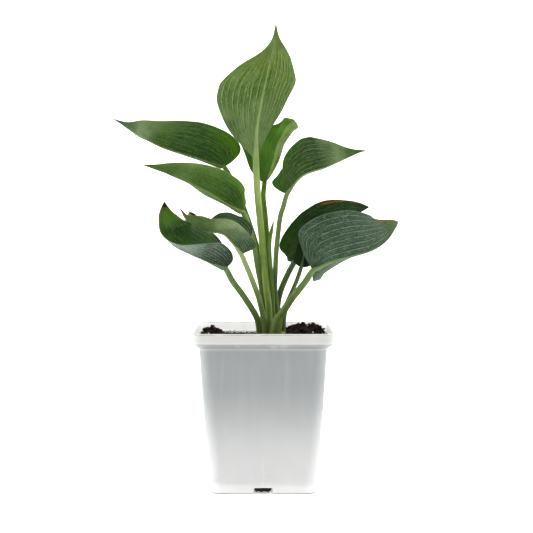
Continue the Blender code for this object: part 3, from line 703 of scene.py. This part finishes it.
def stalk_surface(leaf, rings=130, sides=28):
    """A profile carried along the stalk's path and on under the first part of the midrib: an oval
    with a channel pressed into the face that the groove directions give, opening at the foot into
    a wide thin sheath, and thinning to nothing where it has become the midrib."""
    path = np.asarray(leaf["stalk"], float)
    reach = leaf.get("keel", 0.0)
    if reach:
        spine, length = smooth_curve(leaf["spine"])
        keel = along(spine, length, np.linspace(0.10, 1.0, 5) * reach * length[-1]) * 1000
        facing = unit(np.asarray(leaf["facing"][0], float))
        path = np.vstack([path[:-1], spine[:1] * 1000 - 0.4 * facing, keel - 0.5 * facing])
    curve, run = smooth_curve(path, 400)
    total = run[-1]
    s = np.linspace(0, total, rings)
    tangent = unit(np.gradient(curve, run, axis=0))
    forward = unit(along(tangent, run, s))
    centre = along(curve, run, s)
    t = (s / total)[:, None]
    join = 1.0
    if reach:
        join = float(run[np.argmin(np.linalg.norm(curve - spine[0], axis=1))] / total)
    groove = np.asarray(leaf["groove"], float)
    share = np.clip(t / join, 0, 1)
    up = (1 - share) * groove[0] + share * groove[1]
    up = unit(up - (up * forward).sum(-1, keepdims=True) * forward)
    side = np.cross(forward, up)
    stations = np.array([0, 0.06, 0.14, 0.28, 0.9, 1.0]) * join
    width = np.interp(t[:, 0], stations, leaf["widths"])[:, None] * 0.0005
    fade = np.clip((t - join) / (1 - join + 1e-6), 0, 1) if reach else np.clip((t - 0.97) / 0.03, 0, 1)
    width = width * (1 - fade) ** (1.7 if reach else 0.5) + 0.00002
    turn = np.linspace(0, 2 * math.pi, sides, endpoint=False)[None, :]
    lower = np.minimum(np.cos(turn), 0) * leaf.get("deep", 0.85)
    channel = np.maximum(np.cos(turn), 0) * (0.42 - 0.50 * np.exp(-(np.sin(turn) / 0.45) ** 2))
    sheath = np.exp(-(t / 0.16) ** 2) * leaf.get("sheath", 0.3)
    hug = sheath * np.sin(turn) ** 2 * 0.55
    deep = np.minimum(width, 0.0042 + 0.25 * width)
    rise = (lower * (1 - 0.35 * sheath) + channel * (1 - fade) + hug) * deep
    sideways = side[:, None] * (np.sin(turn) * width)[..., None]
    points = centre[:, None] + sideways + up[:, None] * rise[..., None]
    return points, share + 0 * turn, turn / (2 * math.pi) + 0 * t


def stalk_piece(name, leaf, material):
    """Closes a stalk at both ends and keeps the way along it and round it as a map."""
    points, t, turn = stalk_surface(leaf)
    faces = tube_faces(*t.shape)
    made = solid(name, points.reshape(-1, 3), faces, material)
    flow = np.stack([t.ravel(), turn.ravel()], -1)
    order = np.concatenate(faces)
    made.data.uv_layers.new(name="flow").data.foreach_set("uv", flow[order].ravel())
    return made


def stalk_finish(name, leaf):
    """Smooth waxy green that pales up the stalk, with fine lengthwise ribs and a few flecks."""
    made, shader, start = finish_for(name, 0.40, Specular_IOR_Level=0.32)
    flow = start.node("ShaderNodeUVMap", {"uv_map": "flow"}, {})
    t, turn, _ = flow.split()
    place = start.place()
    tone = t.tinted([(at, shade(*colour)) for at, colour in leaf["stalk_look"]])
    ribs_place = start.node("ShaderNodeCombineXYZ", {}, {0: t * 7.0, 1: turn * 34.0, 2: 3.0})
    ribs = grain(start, ribs_place, 1.0, 3.0)
    clouds = grain(start, place, 80.0, 3.0)
    flecks = grain(start, place, 520.0, 2.0)
    tone = (ribs.rise(0.5, 0.8) * 0.38).blend(tone, shade(184, 206, 116))
    tone = ((1 - ribs.rise(0.2, 0.5)) * 0.42).blend(tone, shade(46, 78, 18))
    tone = ((1 - clouds.rise(0.3, 0.6)) * 0.30).blend(tone, shade(80, 108, 44))
    tone = (flecks.rise(0.70, 0.78) * 0.4).blend(tone, shade(120, 96, 60))
    uneven = ribs * 0.7 + clouds * 0.2
    start.end(shader, tone, relief(start, uneven, 0.0003, 0.7), 0.38 + clouds * 0.12)
    return made


def grow(node, leaf):
    """One leaf: its blade and its stalk, standing for their two nodes."""
    leaf = {"keel": 0.45, "roll": 1, "lobe": (0, 0), "crest": (0, 0), "pucker": 0.4, **leaf}
    blade = blade_piece(node + "_sheet", leaf, blade_finish(node + "_skin", leaf))
    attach(blade, "root")
    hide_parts(node + "_blade")
    stalk = stalk_piece(node + "_stem", leaf, stalk_finish(node + "_stem_skin", leaf))
    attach(stalk, "root")
    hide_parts(node + "_stalk")


grow("top_leaf", {
    "spine": [(-7, -2, 312), (-6, -6, 338), (-1, -9, 366), (5, -5, 395), (10, 2, 419), (12, 8, 440)],
    "left": (2, 4, 8, 14, 22, 27, 32, 22, 6, 0.4),
    "right": (3, 10, 21, 35, 47, 49, 34, 11, 3, 0.4),
    "facing": [(0.05, 1, 0.1), (0.08, 1, 0.2), (0.1, 1, 0.25)],
    "fold": ((18, 14, 30), (18, 10, 26)),
    "curl": ((10, 30, 20), (0, 22, 10)),
    "look": {
        "upper": [(0.0, (92, 132, 52)), (1.0, (84, 126, 44))],
        # The paler stops towards the tip are partly bloom, partly a painted sheen.
        "under": [(0.0, (140, 160, 112)), (0.2, (112, 132, 90)), (0.45, (92, 114, 60)), (0.7, (98, 118, 52)),
                  (0.88, (128, 144, 82)), (1.0, (118, 134, 62))],
        "vein": (178, 194, 146), "deep": (62, 94, 26), "rib": (160, 178, 116),
        "veined": 0.42, "streak": 0.42, "patchy": 0.6, "seed": 1.0},
    "stalk": [(5.2, -3.5, 144), (5.4, -4, 158), (4.9, -4, 172), (2.5, -3.5, 191), (0.2, -3, 215),
              (-1.3, -3, 234), (-3.2, -2.5, 253), (-6, -2, 285), (-7, -2, 312)],
    "groove": [(0, 1, 0), (0, 1, 0)],
    "widths": (7.4, 7.2, 6.8, 6.6, 6.4, 6.2), "sheath": 0.8,
    "stalk_look": [(0.0, (134, 148, 84)), (0.15, (112, 136, 58)), (0.45, (140, 164, 80)),
                   (0.8, (170, 190, 112)), (1.0, (150, 170, 108))],
})

# --- The upper left leaf ------------------------------------------------------------------------
# A long blade folded up along its midrib, held out level to the left, so that the back of its
# near half shows: deep green by the stalk, greyer towards the tip with bloom and a painted sheen.

grow("upper_left_leaf", {
    "spine": [(-37, 14, 303), (-56, 4, 309), (-76, -8, 315), (-97, -22, 322), (-118, -38, 333),
              (-130, -47, 341), (-137, -52, 345)],
    "left": (2, 14, 24, 33, 36, 30, 22, 13, 4, 0.4),
    "right": (2, 9, 16, 24, 32, 32, 24, 11, 3, 0.4),
    "lobe": (0.22, 0.08),
    "facing": [(-0.2, 0.45, 0.9), (-0.05, 0.48, 0.88), (0.1, 0.5, 0.85)],
    "fold": ((58, 62, 60), (45, 40, 40)),
    "curl": ((10, 10, 10), (0, -10, 0)),
    "look": {
        "upper": [(0.0, (70, 108, 36)), (1.0, (76, 112, 44))],
        # The pale stops towards the tip are partly bloom, partly a painted sheen.
        "under": [(0.0, (92, 126, 44)), (0.22, (60, 98, 12)), (0.42, (50, 84, 12)), (0.58, (84, 110, 52)),
                  (0.78, (150, 166, 132)), (1.0, (130, 148, 100))],
        "vein": (166, 186, 134), "deep": (38, 72, 8), "veined": 0.22, "streak": 0.24, "glow": (118, 156, 44),
        "crest_highlight": (112, 136, 84), "seed": 2.0},
    "stalk": [(0, 7, 144), (0.5, 7, 160), (1.5, 7, 177), (-0.5, 8, 200), (-5, 9, 222), (-13, 10.5, 248),
              (-26, 12, 282), (-37, 14, 302)],
    "groove": [(0.5, 0.3, 0.2), (-0.5, 0.5, 0.7)],
    "widths": (6, 6, 5.8, 5.5, 5, 4.6),
    "stalk_look": [(0.0, (110, 128, 66)), (0.4, (86, 112, 46)), (1.0, (110, 136, 70))],
})

# --- The middle left leaf -----------------------------------------------------------------------
# Like the one above it but smaller and nearer, and a clearer green, with a light margin where its
# lobe turns towards the light.

grow("mid_left_leaf", {
    "spine": [(-19, -12, 260), (-26, -16, 263), (-41, -22, 272), (-59, -32, 283), (-78, -44, 292),
              (-94, -52, 298), (-103, -57, 301), (-109, -60, 303)],
    "left": (2, 8.8, 18, 25, 27, 22, 16, 9, 4, 0.4),
    "right": (2, 9.6, 20, 28, 32, 28, 20, 9, 3, 0.4),
    "lobe": (0.09, 0.14),
    "facing": [(-0.3, 0.4, 0.85), (-0.15, 0.4, 0.88), (0, 0.4, 0.9)],
    "fold": ((60, 58, 50), (45, 40, 30)),
    "curl": ((0, 10, 10), (0, -10, 0)),
    "look": {
        "upper": [(0.0, (80, 120, 44)), (1.0, (84, 118, 50))],
        "under": [(0.0, (92, 122, 50)), (0.18, (52, 88, 16)), (0.40, (92, 122, 62)), (0.7, (108, 132, 84)),
                  (1.0, (88, 110, 50))],
        "vein": (154, 180, 108), "deep": (46, 80, 14), "veined": 0.20, "streak": 0.26, "rim": 0.6,
        "glow": (140, 176, 84), "crest_highlight": (128, 154, 92), "seed": 3.0},
    "stalk": [(-1.5, 0.5, 144), (-1.5, 0.5, 160), (-2, 0.5, 177), (-4, -0.5, 196), (-6.5, -4, 213),
              (-9, -8, 229.5), (-14.6, -10.5, 248), (-19, -12, 259)],
    "groove": [(-0.3, -0.2, 0.4), (-0.5, 0.5, 0.7)],
    "widths": (6.4, 6.4, 6.2, 6, 5.8, 5.4),
    "stalk_look": [(0.0, (120, 136, 78)), (0.4, (104, 128, 60)), (1.0, (128, 150, 88))],
})

# --- The lower left leaf ------------------------------------------------------------------------
# A cupped leaf like a boat, its prow turned up: the near side shows its silver-grey back, the far
# side its dark green face. Its tip has died back to dark red, and its margin is scorched.

grow("lower_left_leaf", {
    "spine": [(-35, -22, 207), (-50, -32, 214), (-67, -42, 222), (-82, -48, 230), (-90, -50, 239),
              (-93, -49, 251), (-93, -46, 261), (-91, -44, 270)],
    "left": (3, 9, 15, 23, 31, 29, 20, 8, 4, 0.4),
    "right": (3, 20, 35, 46, 48, 46, 40, 26, 12, 0.4),
    "lobe": (0.1, 0.12), "crest": (0, 0.06),
    "facing": [(0, -0.35, 0.9), (0.1, -0.3, 0.9), (0.6, -0.6, 0.1)],
    "fold": ((80, 30, 25), (28, 20, 0)),
    "curl": ((0, 15, 10), (5, 8, 0)),
    "look": {
        "upper": [(0.0, (66, 108, 20)), (0.5, (84, 132, 26)), (1.0, (92, 130, 26))],
        # The dark stops by the stalk are partly the back's own deep colour, partly painted shade on the near
        # lobe.
        "under": [(0.0, (34, 54, 36)), (0.14, (44, 64, 46)), (0.30, (82, 100, 84)), (0.5, (134, 148, 136)),
                  (0.8, (180, 188, 178)), (1.0, (120, 130, 100))],
        "vein": (186, 196, 182), "deep": (28, 52, 20), "veined": 0.55, "veined_above": 0.22, "streak": 0.15,
        "scorch": [(0.72, 0.99, -1, 0.16), (0.40, 0.95, 1, 0.05)], "amber": 0.75,
        "burnt": (112, 40, 26), "tip": 0.94, "seed": 4.0},
    "stalk": [(-3.5, -6, 144), (-5.5, -9, 158), (-10.7, -12, 168.5), (-20, -16, 183), (-29, -19.5, 195.5),
              (-36, -22, 206)],
    "groove": [(-0.3, 0.2, 0.6), (-0.5, 0.5, 0.7)],
    "widths": (6, 6, 6, 6, 5.6, 5.4),
    "stalk_look": [(0.0, (120, 138, 80)), (0.5, (108, 134, 76)), (1.0, (112, 134, 92))],
})

# --- The front left leaf ------------------------------------------------------------------------
# A smaller leaf that lies in the cup of the one behind, its puckered back to the front and its
# pale midrib running straight on from the stalk.

grow("front_left_leaf", {
    "spine": [(-20, -36, 221), (-30, -43, 234.5), (-38, -47, 241), (-53, -53, 243.5), (-61.5, -56, 248.5),
              (-70, -59, 254), (-74, -60, 261), (-76.5, -60, 265)],
    "left": (3, 13, 18, 18, 18, 19, 17, 10, 4, 0.4),
    "right": (3, 20, 34, 36, 29, 14, 7, 4, 2, 0.4),
    "lobe": (0.11, 0.055),
    "facing": [(0.1, -0.1, 1), (0.15, -0.05, 0.95), (0.2, 0, 0.9)],
    "fold": ((62, 42, 35), (62, 46, 4)),
    "curl": ((0, 10, 0), (0, 10, 0)),
    "pucker": 1.2,
    "look": {
        # The upper face's deep green is partly its own colour, partly painted shade of the cupped inside.
        "upper": [(0.0, (32, 62, 22)), (1.0, (40, 70, 22))],
        "under": [(0.0, (52, 72, 54)), (0.18, (62, 84, 62)), (0.36, (146, 164, 124)), (0.55, (108, 130, 80)),
                  (0.8, (86, 112, 56)), (1.0, (110, 130, 84))],
        "vein": (176, 188, 156), "deep": (62, 84, 50), "rib": (190, 200, 148), "veined": 0.40, "streak": 0.30,
        "seed": 5.0},
    "stalk": [(2, -9, 144), (0.8, -11, 157), (-1.5, -14, 168), (-4.6, -18, 180.5), (-9.7, -25, 195),
              (-14.7, -31, 208), (-20, -36, 220.5)],
    "groove": [(0, 0.6, 0.6), (0, 0.8, 0.6)],
    "widths": (5.6, 5.8, 5.6, 5.4, 5, 4.6),
    "stalk_look": [(0.0, (124, 140, 80)), (0.4, (112, 134, 72)), (1.0, (150, 168, 110))],
})

# --- The upper right leaf -----------------------------------------------------------------------
# A folded blade held out to the right on a slim stalk, its near half deep green with a pale patch
# of bloom and painted sheen, and its far lobe showing behind the stalk.

grow("upper_right_leaf", {
    "spine": [(22, 1, 277), (28, -3, 286), (39, -4, 296), (59, -1, 303), (81, 5, 313), (93, 9, 318),
              (100, 12, 319)],
    "left": (2, 16, 26, 27, 28, 27, 20, 9, 3, 0.4),
    "right": (2, 6, 14, 25, 33, 31, 22, 9, 3, 0.4),
    "lobe": (0.16, -0.02),
    "facing": [(-0.5, 0.4, 0.7), (-0.25, 0.4, 0.8), (0, 0.4, 0.9)],
    "fold": ((84, 52, 40), (60, 62, 50)),
    "curl": ((0, 10, 0), (0, 15, 10)),
    "look": {
        "upper": [(0.0, (70, 112, 10)), (1.0, (84, 120, 34))],
        # The pale stop past the middle is partly bloom, partly a painted sheen.
        "under": [(0.0, (106, 128, 84)), (0.2, (56, 82, 40)), (0.46, (40, 68, 18)), (0.66, (128, 146, 108)),
                  (0.84, (96, 124, 66)), (1.0, (84, 106, 56))],
        "vein": (170, 186, 140), "deep": (48, 78, 32), "veined": 0.28, "streak": 0.32, "rim": 0.5,
        "glow": (84, 126, 16), "seed": 6.0},
    "stalk": [(14.5, 3.5, 144), (13.5, 4, 160), (12.5, 4.5, 172), (11.1, 5, 187), (11.6, 5, 205),
              (12.3, 4.5, 221), (13.6, 4, 235), (16, 3, 255), (19.5, 2, 267), (22, 1, 276)],
    "groove": [(0, 0.3, 0.2), (0.3, 0.5, 0.7)],
    "widths": (5.6, 5.4, 5.2, 5, 4.8, 4.6),
    "stalk_look": [(0.0, (100, 120, 60)), (0.35, (84, 108, 56)), (0.5, (116, 138, 80)),
                   (1.0, (132, 154, 100))],
})

# --- The centre back leaf -----------------------------------------------------------------------
# A young leaf just opening behind the top one: bright green face to the front, cupped, with its
# right margin rolled over so that a strip of the pale back shows.

grow("centre_back_leaf", {
    "spine": [(1, 12, 289), (3, 20, 308), (7, 28, 327), (15, 32, 343), (21, 33, 353)],
    "left": (2, 10, 16, 21, 27, 31, 22, 9, 2, 0.4),
    "right": (2, 8, 15, 22, 27, 29, 30, 33, 37, 1),
    "crest": (0, 0.16), "roll": 2.5,
    "facing": [(-0.2, -1, 0.1), (-0.25, -1, 0.2), (-0.3, -1, 0.3)],
    "fold": ((5, 5, 5), (10, 10, 10)),
    "curl": ((120, 80, 10), (160, 200, 130)),
    "look": {
        "upper": [(0.0, (104, 142, 66)), (0.5, (124, 168, 84)), (1.0, (132, 172, 88))],
        "under": [(0.0, (160, 180, 120)), (1.0, (170, 188, 130))],
        "vein": (150, 178, 112), "deep": (84, 122, 54), "veined": 0.4, "veined_above": 0.15, "streak": 0.18,
        "seed": 7.0},
    "stalk": [(6.5, 7, 144), (7, 8, 172), (6.2, 9, 195), (5, 9.5, 215), (3.2, 10, 240), (1.8, 10.5, 258),
              (0, 11, 275), (1, 12, 288)],
    "groove": [(0, -1, 0), (0, -1, 0)],
    "widths": (5, 5, 5, 5, 4.8, 4.6),
    "stalk_look": [(0.0, (100, 122, 60)), (0.4, (96, 122, 50)), (1.0, (112, 142, 60))],
})

# --- The lower right back leaf ------------------------------------------------------------------
# A dark leaf behind the front one, seen over its top, with patches of its margin scorched brown.

grow("lower_right_back_leaf", {
    "spine": [(29.5, 16, 212), (36, 20, 220), (52, 29, 230), (76, 44, 245), (95, 56, 259),
              (106.5, 62, 265.5)],
    "left": (2, 10, 17, 24, 30, 31, 26, 14, 6, 0.4),
    "right": (2, 8, 18, 27, 33, 34, 30, 20, 11, 0.4),
    "lobe": (0.08, 0.10),
    "facing": [(-0.5, 0.4, 0.7), (-0.25, 0.4, 0.8), (0, 0.4, 0.9)],
    "fold": ((45, 40, 30), (64, 58, 50)),
    "curl": ((0, 10, 0), (0, 15, 10)),
    "look": {
        "upper": [(0.0, (36, 60, 30)), (1.0, (40, 66, 26))],
        "under": [(0.0, (96, 118, 80)), (0.2, (72, 98, 54)), (0.4, (48, 80, 28)), (1.0, (42, 80, 14))],
        "vein": (116, 140, 92), "deep": (16, 40, 8), "veined": 0.30, "streak": 0.16, "glow": (64, 108, 36),
        "scorch": [(0.56, 0.78, 1, 0.06), (0.84, 0.98, 1, 0.07)], "amber": 0.5,
        "burnt": (128, 44, 34), "seed": 8.0},
    "stalk": [(13, 10, 144), (13.5, 10.5, 160), (14, 11, 172.5), (17, 13, 185), (23, 15, 199),
              (29, 16, 211)],
    "groove": [(0, 0.5, 0.6), (0.3, 0.5, 0.7)],
    "widths": (6, 6, 6, 6, 5.6, 5.2),
    "stalk_look": [(0.0, (96, 116, 60)), (0.5, (78, 100, 52)), (1.0, (90, 112, 70))],
})

# --- The lower right leaf -----------------------------------------------------------------------
# The broadest near leaf, blue-grey with bloom and boldly veined, folded up so that the back of its
# near half faces the front. Its tip hooks and the last of its margin is brown.

grow("lower_right_leaf", {
    "spine": [(46, -26, 206), (61, -22, 213), (82, -14, 218), (104, 0, 224), (119, 14, 233),
              (129, 27, 245), (133, 37, 251)],
    "left": (2, 12, 19, 31, 39, 38, 30, 18, 8, 0.4),
    "right": (3, 17, 34, 43, 45, 42, 35, 22, 11, 0.4),
    "lobe": (0.11, 0.1),
    "facing": [(-0.2, 0.45, 0.85), (-0.3, 0.45, 0.85), (-0.5, 0.5, 0.6)],
    "fold": ((-30, 50, 40), (66, 60, 50)),
    "curl": ((0, 10, 0), (0, 12, 12)),
    "look": {
        # The upper face's deep green is partly its own colour, partly painted shade on the inside of the far
        # half.
        "upper": [(0.0, (30, 54, 28)), (1.0, (44, 70, 34))],
        "under": [(0.0, (74, 96, 76)), (0.2, (82, 100, 84)), (0.45, (64, 82, 68)), (0.7, (84, 98, 80)),
                  (0.9, (92, 112, 66)), (1.0, (98, 112, 66))],
        "vein": (136, 158, 130), "deep": (46, 62, 50), "veined": 0.62, "streak": 0.26, "ladder": 0.42,
        "scorch": [(0.80, 0.99, 1, 0.09)], "amber": 0.5, "burnt": (128, 56, 46), "tip": 0.975, "seed": 9.0},
    "stalk": [(10, -10, 144), (14, -12, 158), (19.5, -15, 167.5), (26, -18, 178), (33, -21, 187),
              (39.5, -24, 195.5), (46, -26, 205)],
    "groove": [(0.2, 0.5, 0.6), (0.1, 0.5, 0.8)],
    "widths": (12, 12.5, 11, 7.6, 6.4, 6), "sheath": 0.8,
    "stalk_look": [(0.0, (124, 140, 78)), (0.3, (116, 138, 74)), (0.7, (104, 126, 68)),
                   (1.0, (112, 134, 80))],
})

# --- The small leaf -----------------------------------------------------------------------------
# A short dark leaf standing between the two lower right leaves, half hidden by them.

grow("small_leaf", {
    "spine": [(36.5, 9, 207.5), (38.3, 8, 215), (39.2, 7, 224), (39.2, 8, 232), (38.8, 10, 238)],
    "left": (2, 5, 8, 10, 10, 9, 7, 4, 2, 0.4),
    "right": (2, 5, 8, 10, 10, 9, 7, 4, 2, 0.4),
    "lobe": (0.05, 0.05),
    "facing": [(0, 1, 0.2), (0, 1, 0.2), (0, 1, 0.3)],
    "fold": ((20, 20, 10), (20, 20, 10)),
    "curl": ((0, 10, 0), (0, 10, 0)),
    "look": {
        "upper": [(0.0, (36, 60, 30)), (1.0, (40, 64, 30))],
        "under": [(0.0, (48, 70, 40)), (1.0, (40, 62, 32))],
        "vein": (120, 140, 100), "deep": (24, 44, 18), "veined": 0.35, "streak": 0.2, "seed": 10.0},
    "stalk": [(19, 6.5, 144), (20, 7.5, 158), (22.5, 9, 172), (27.7, 10, 184), (32.6, 9.5, 195.6),
              (36.4, 9, 206.5)],
    "groove": [(0, 0.5, 0.5), (0, 0.5, 0.8)],
    "widths": (4.8, 4.8, 4.6, 4.6, 4.4, 4),
    "stalk_look": [(0.0, (100, 120, 66)), (0.5, (96, 118, 66)), (1.0, (90, 112, 66))],
})

# --- The spear leaf -----------------------------------------------------------------------------
# The next leaf to come, still furled to a narrow point and pressed against the tallest stalk.

spear = {
    "stalk": [(9.5, 0.5, 144), (8.8, -0.5, 176), (7.5, -2, 200), (6, -3, 222), (6.5, -3.5, 236),
              (10, -4, 253)],
    "groove": [(0, 1, 0), (0, 1, 0)],
    "widths": (5, 5, 4.8, 4.4, 3.4, 0.6), "deep": 0.6,
    "stalk_look": [(0.0, (108, 128, 66)), (0.5, (98, 124, 56)), (1.0, (112, 140, 66))],
}
furled = stalk_piece("furled_spear", spear, stalk_finish("furled_spear_skin", spear))
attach(furled, "root")
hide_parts("spear_leaf")

# --- Straw and litter ---------------------------------------------------------------------------
# Dry sheath ends and straws dropped on the soil round the crown, and three short curled twigs
# standing in it.


def straws(name, starts, turns, lengths, thick, droop, material, rings=9, sides=6):
    """Thin tapered tubes in one mesh. Each runs from its start the way its turn gives, rises and
    falls back as a parabola, and thins to a point."""
    t = np.linspace(0, 1, rings)[None, :, None]
    heading = np.stack([np.cos(turns), np.sin(turns), 0 * turns], -1)[:, None, :]
    lift = np.array([0.0, 0.0, 1.0])[None, None, :]
    path = starts[:, None, :] + heading * (t * lengths[:, None, None])
    path = path + lift * ((droop[:, None, None]) * 4 * t * (1 - 0.75 * t))
    across = np.cross(heading, lift)
    angle = np.linspace(0, 2 * math.pi, sides, endpoint=False)
    radius = thick[:, None, None] * (1 - 0.8 * t)
    ring = across[:, :, None, :] * np.cos(angle)[:, None] + lift[:, :, None, :] * np.sin(angle)[:, None]
    corners = path[:, :, None, :] + ring * radius[:, :, None, :]
    faces = []
    for number in range(len(starts)):
        base = number * rings * sides
        faces += (ring_quads(rings, sides)[:, ::-1] + base).tolist()
        faces.append([base + k for k in range(sides)])
        faces.append([base + (rings - 1) * sides + k for k in range(sides)][::-1])
    return solid(name, corners.reshape(-1, 3), faces, material)


draw = np.random.default_rng(51)
straw_count = 26
around = draw.uniform(0, 2 * math.pi, straw_count)
away = draw.uniform(0.012, 0.024, straw_count)
starts = np.stack([0.002 + away * np.cos(around), away * np.sin(around), 0 * around], -1)
starts[:, 2] = soil_level(starts[:, 0], starts[:, 1]) + 0.0006
dry = chip_finish("dry_straw", shade(150, 122, 76), shade(214, 192, 142))
litter = straws("dry_straws", starts, around + draw.uniform(-1.3, 1.3, straw_count),
                draw.uniform(0.004, 0.011, straw_count), draw.uniform(0.0003, 0.0006, straw_count),
                draw.uniform(0.0004, 0.0016, straw_count), dry)
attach(litter, "root")
bark = chip_finish("twig_bark", shade(60, 44, 30), shade(120, 96, 66))
twig_feet = np.array([[-0.030, 0.020, 0.1398], [-0.031, 0.021, 0.1400], [-0.022, -0.012, 0.1412]])
twig = straws("curled_twigs", twig_feet, np.array([0.5, 2.4, 1.1]), np.array([0.0035, 0.004, 0.006]),
              np.array([0.0005, 0.0004, 0.0004]), np.array([0.0042, 0.0036, 0.0014]), bark)
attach(twig, "root")

# --- The studio ---------------------------------------------------------------------------------
# A pale seamless floor, soft light from above and both sides with less from the front, and a long
# lens a little above the pot, level with the lower leaves.

sweep_turn = np.linspace(0, math.pi / 2, 12)
sweep_y = np.concatenate([[-5.0, 0.0], 2.1 + 0.6 * np.sin(sweep_turn), [2.7]])
sweep_z = np.concatenate([[0.0, 0.0], 0.6 - 0.6 * np.cos(sweep_turn), [4.0]])
paper, paper_shader, start = finish_for("studio_paper", 0.9, Emission_Strength=0.30)
place = start.place()
weave = grain(start, place, 3.0).rise(0.2, 0.8).blend(shade(243, 243, 242), shade(247, 247, 246))
start.feed(paper_shader.inputs["Base Color"], weave)
away = place.split()[1]
glow = away.rise(0.6, 2.4).blend((1.2, 1.2, 1.2), (3.0, 3.0, 3.0))
start.feed(paper_shader.inputs["Emission Color"], glow)
edges = [np.stack([0 * sweep_y + side, sweep_y, sweep_z], -1) for side in (-6.0, 6.0)]
count = len(sweep_y)
strips = [[k, k + count, k + count + 1, k + 1] for k in range(count - 1)]
floor = solid("studio_floor", np.vstack(edges), strips, paper)


def soft_light(name, place, aim, wide, tall, watts):
    """A large soft box at place, turned towards aim."""
    lamp = bpy.data.lights.new(name, "AREA")
    lamp.shape = "RECTANGLE"
    lamp.size = wide
    lamp.size_y = tall
    lamp.energy = watts
    made = bpy.data.objects.new(name, lamp)
    eye = np.asarray(place, float)
    look = unit(np.asarray(aim, float) - eye)
    right = unit(np.cross(look, (0, 0, 1.0)) if abs(look[2]) < 0.99 else np.array([1.0, 0, 0]))
    up = np.cross(right, look)
    grid = np.eye(4)
    grid[:3, 0], grid[:3, 1], grid[:3, 2], grid[:3, 3] = right, up, -look, eye
    made.matrix_world = mathutils.Matrix(grid.tolist())
    bpy.context.scene.collection.objects.link(made)


soft_light("top_box", (0.0, 0.1, 1.7), (0, 0, 0.2), 1.6, 1.6, 17)
soft_light("left_box", (-1.5, -0.1, 0.6), (0, 0, 0.22), 1.2, 1.4, 13)
soft_light("right_box", (1.5, 0.0, 0.6), (0, 0, 0.22), 1.2, 1.4, 11)
soft_light("front_box", (-0.4, -1.9, 1.2), (0, 0, 0.25), 1.2, 1.0, 3)

world = bpy.data.worlds.new("white_studio")
world.use_nodes = True
sky = Sap(world.node_tree)
back = world.node_tree.nodes["Background"]
sky.feed(back.inputs["Color"], (1.0, 1.0, 1.0, 1.0))
sky.feed(back.inputs["Strength"], 0.25)
bpy.context.scene.world = world
bpy.context.scene.view_settings.view_transform = "Standard"
bpy.context.scene.view_settings.look = "Medium High Contrast"

lens = bpy.data.cameras.new("camera")
lens.sensor_width = 36.0
lens.lens = 81.2
lens.clip_end = 40.0
camera = bpy.data.objects.new("camera", lens)
camera.location = (0.003, -1.150, 0.259)
camera.rotation_euler = (math.radians(90 - 2.52), 0.0, 0.0)
bpy.context.scene.collection.objects.link(camera)
bpy.context.scene.camera = camera
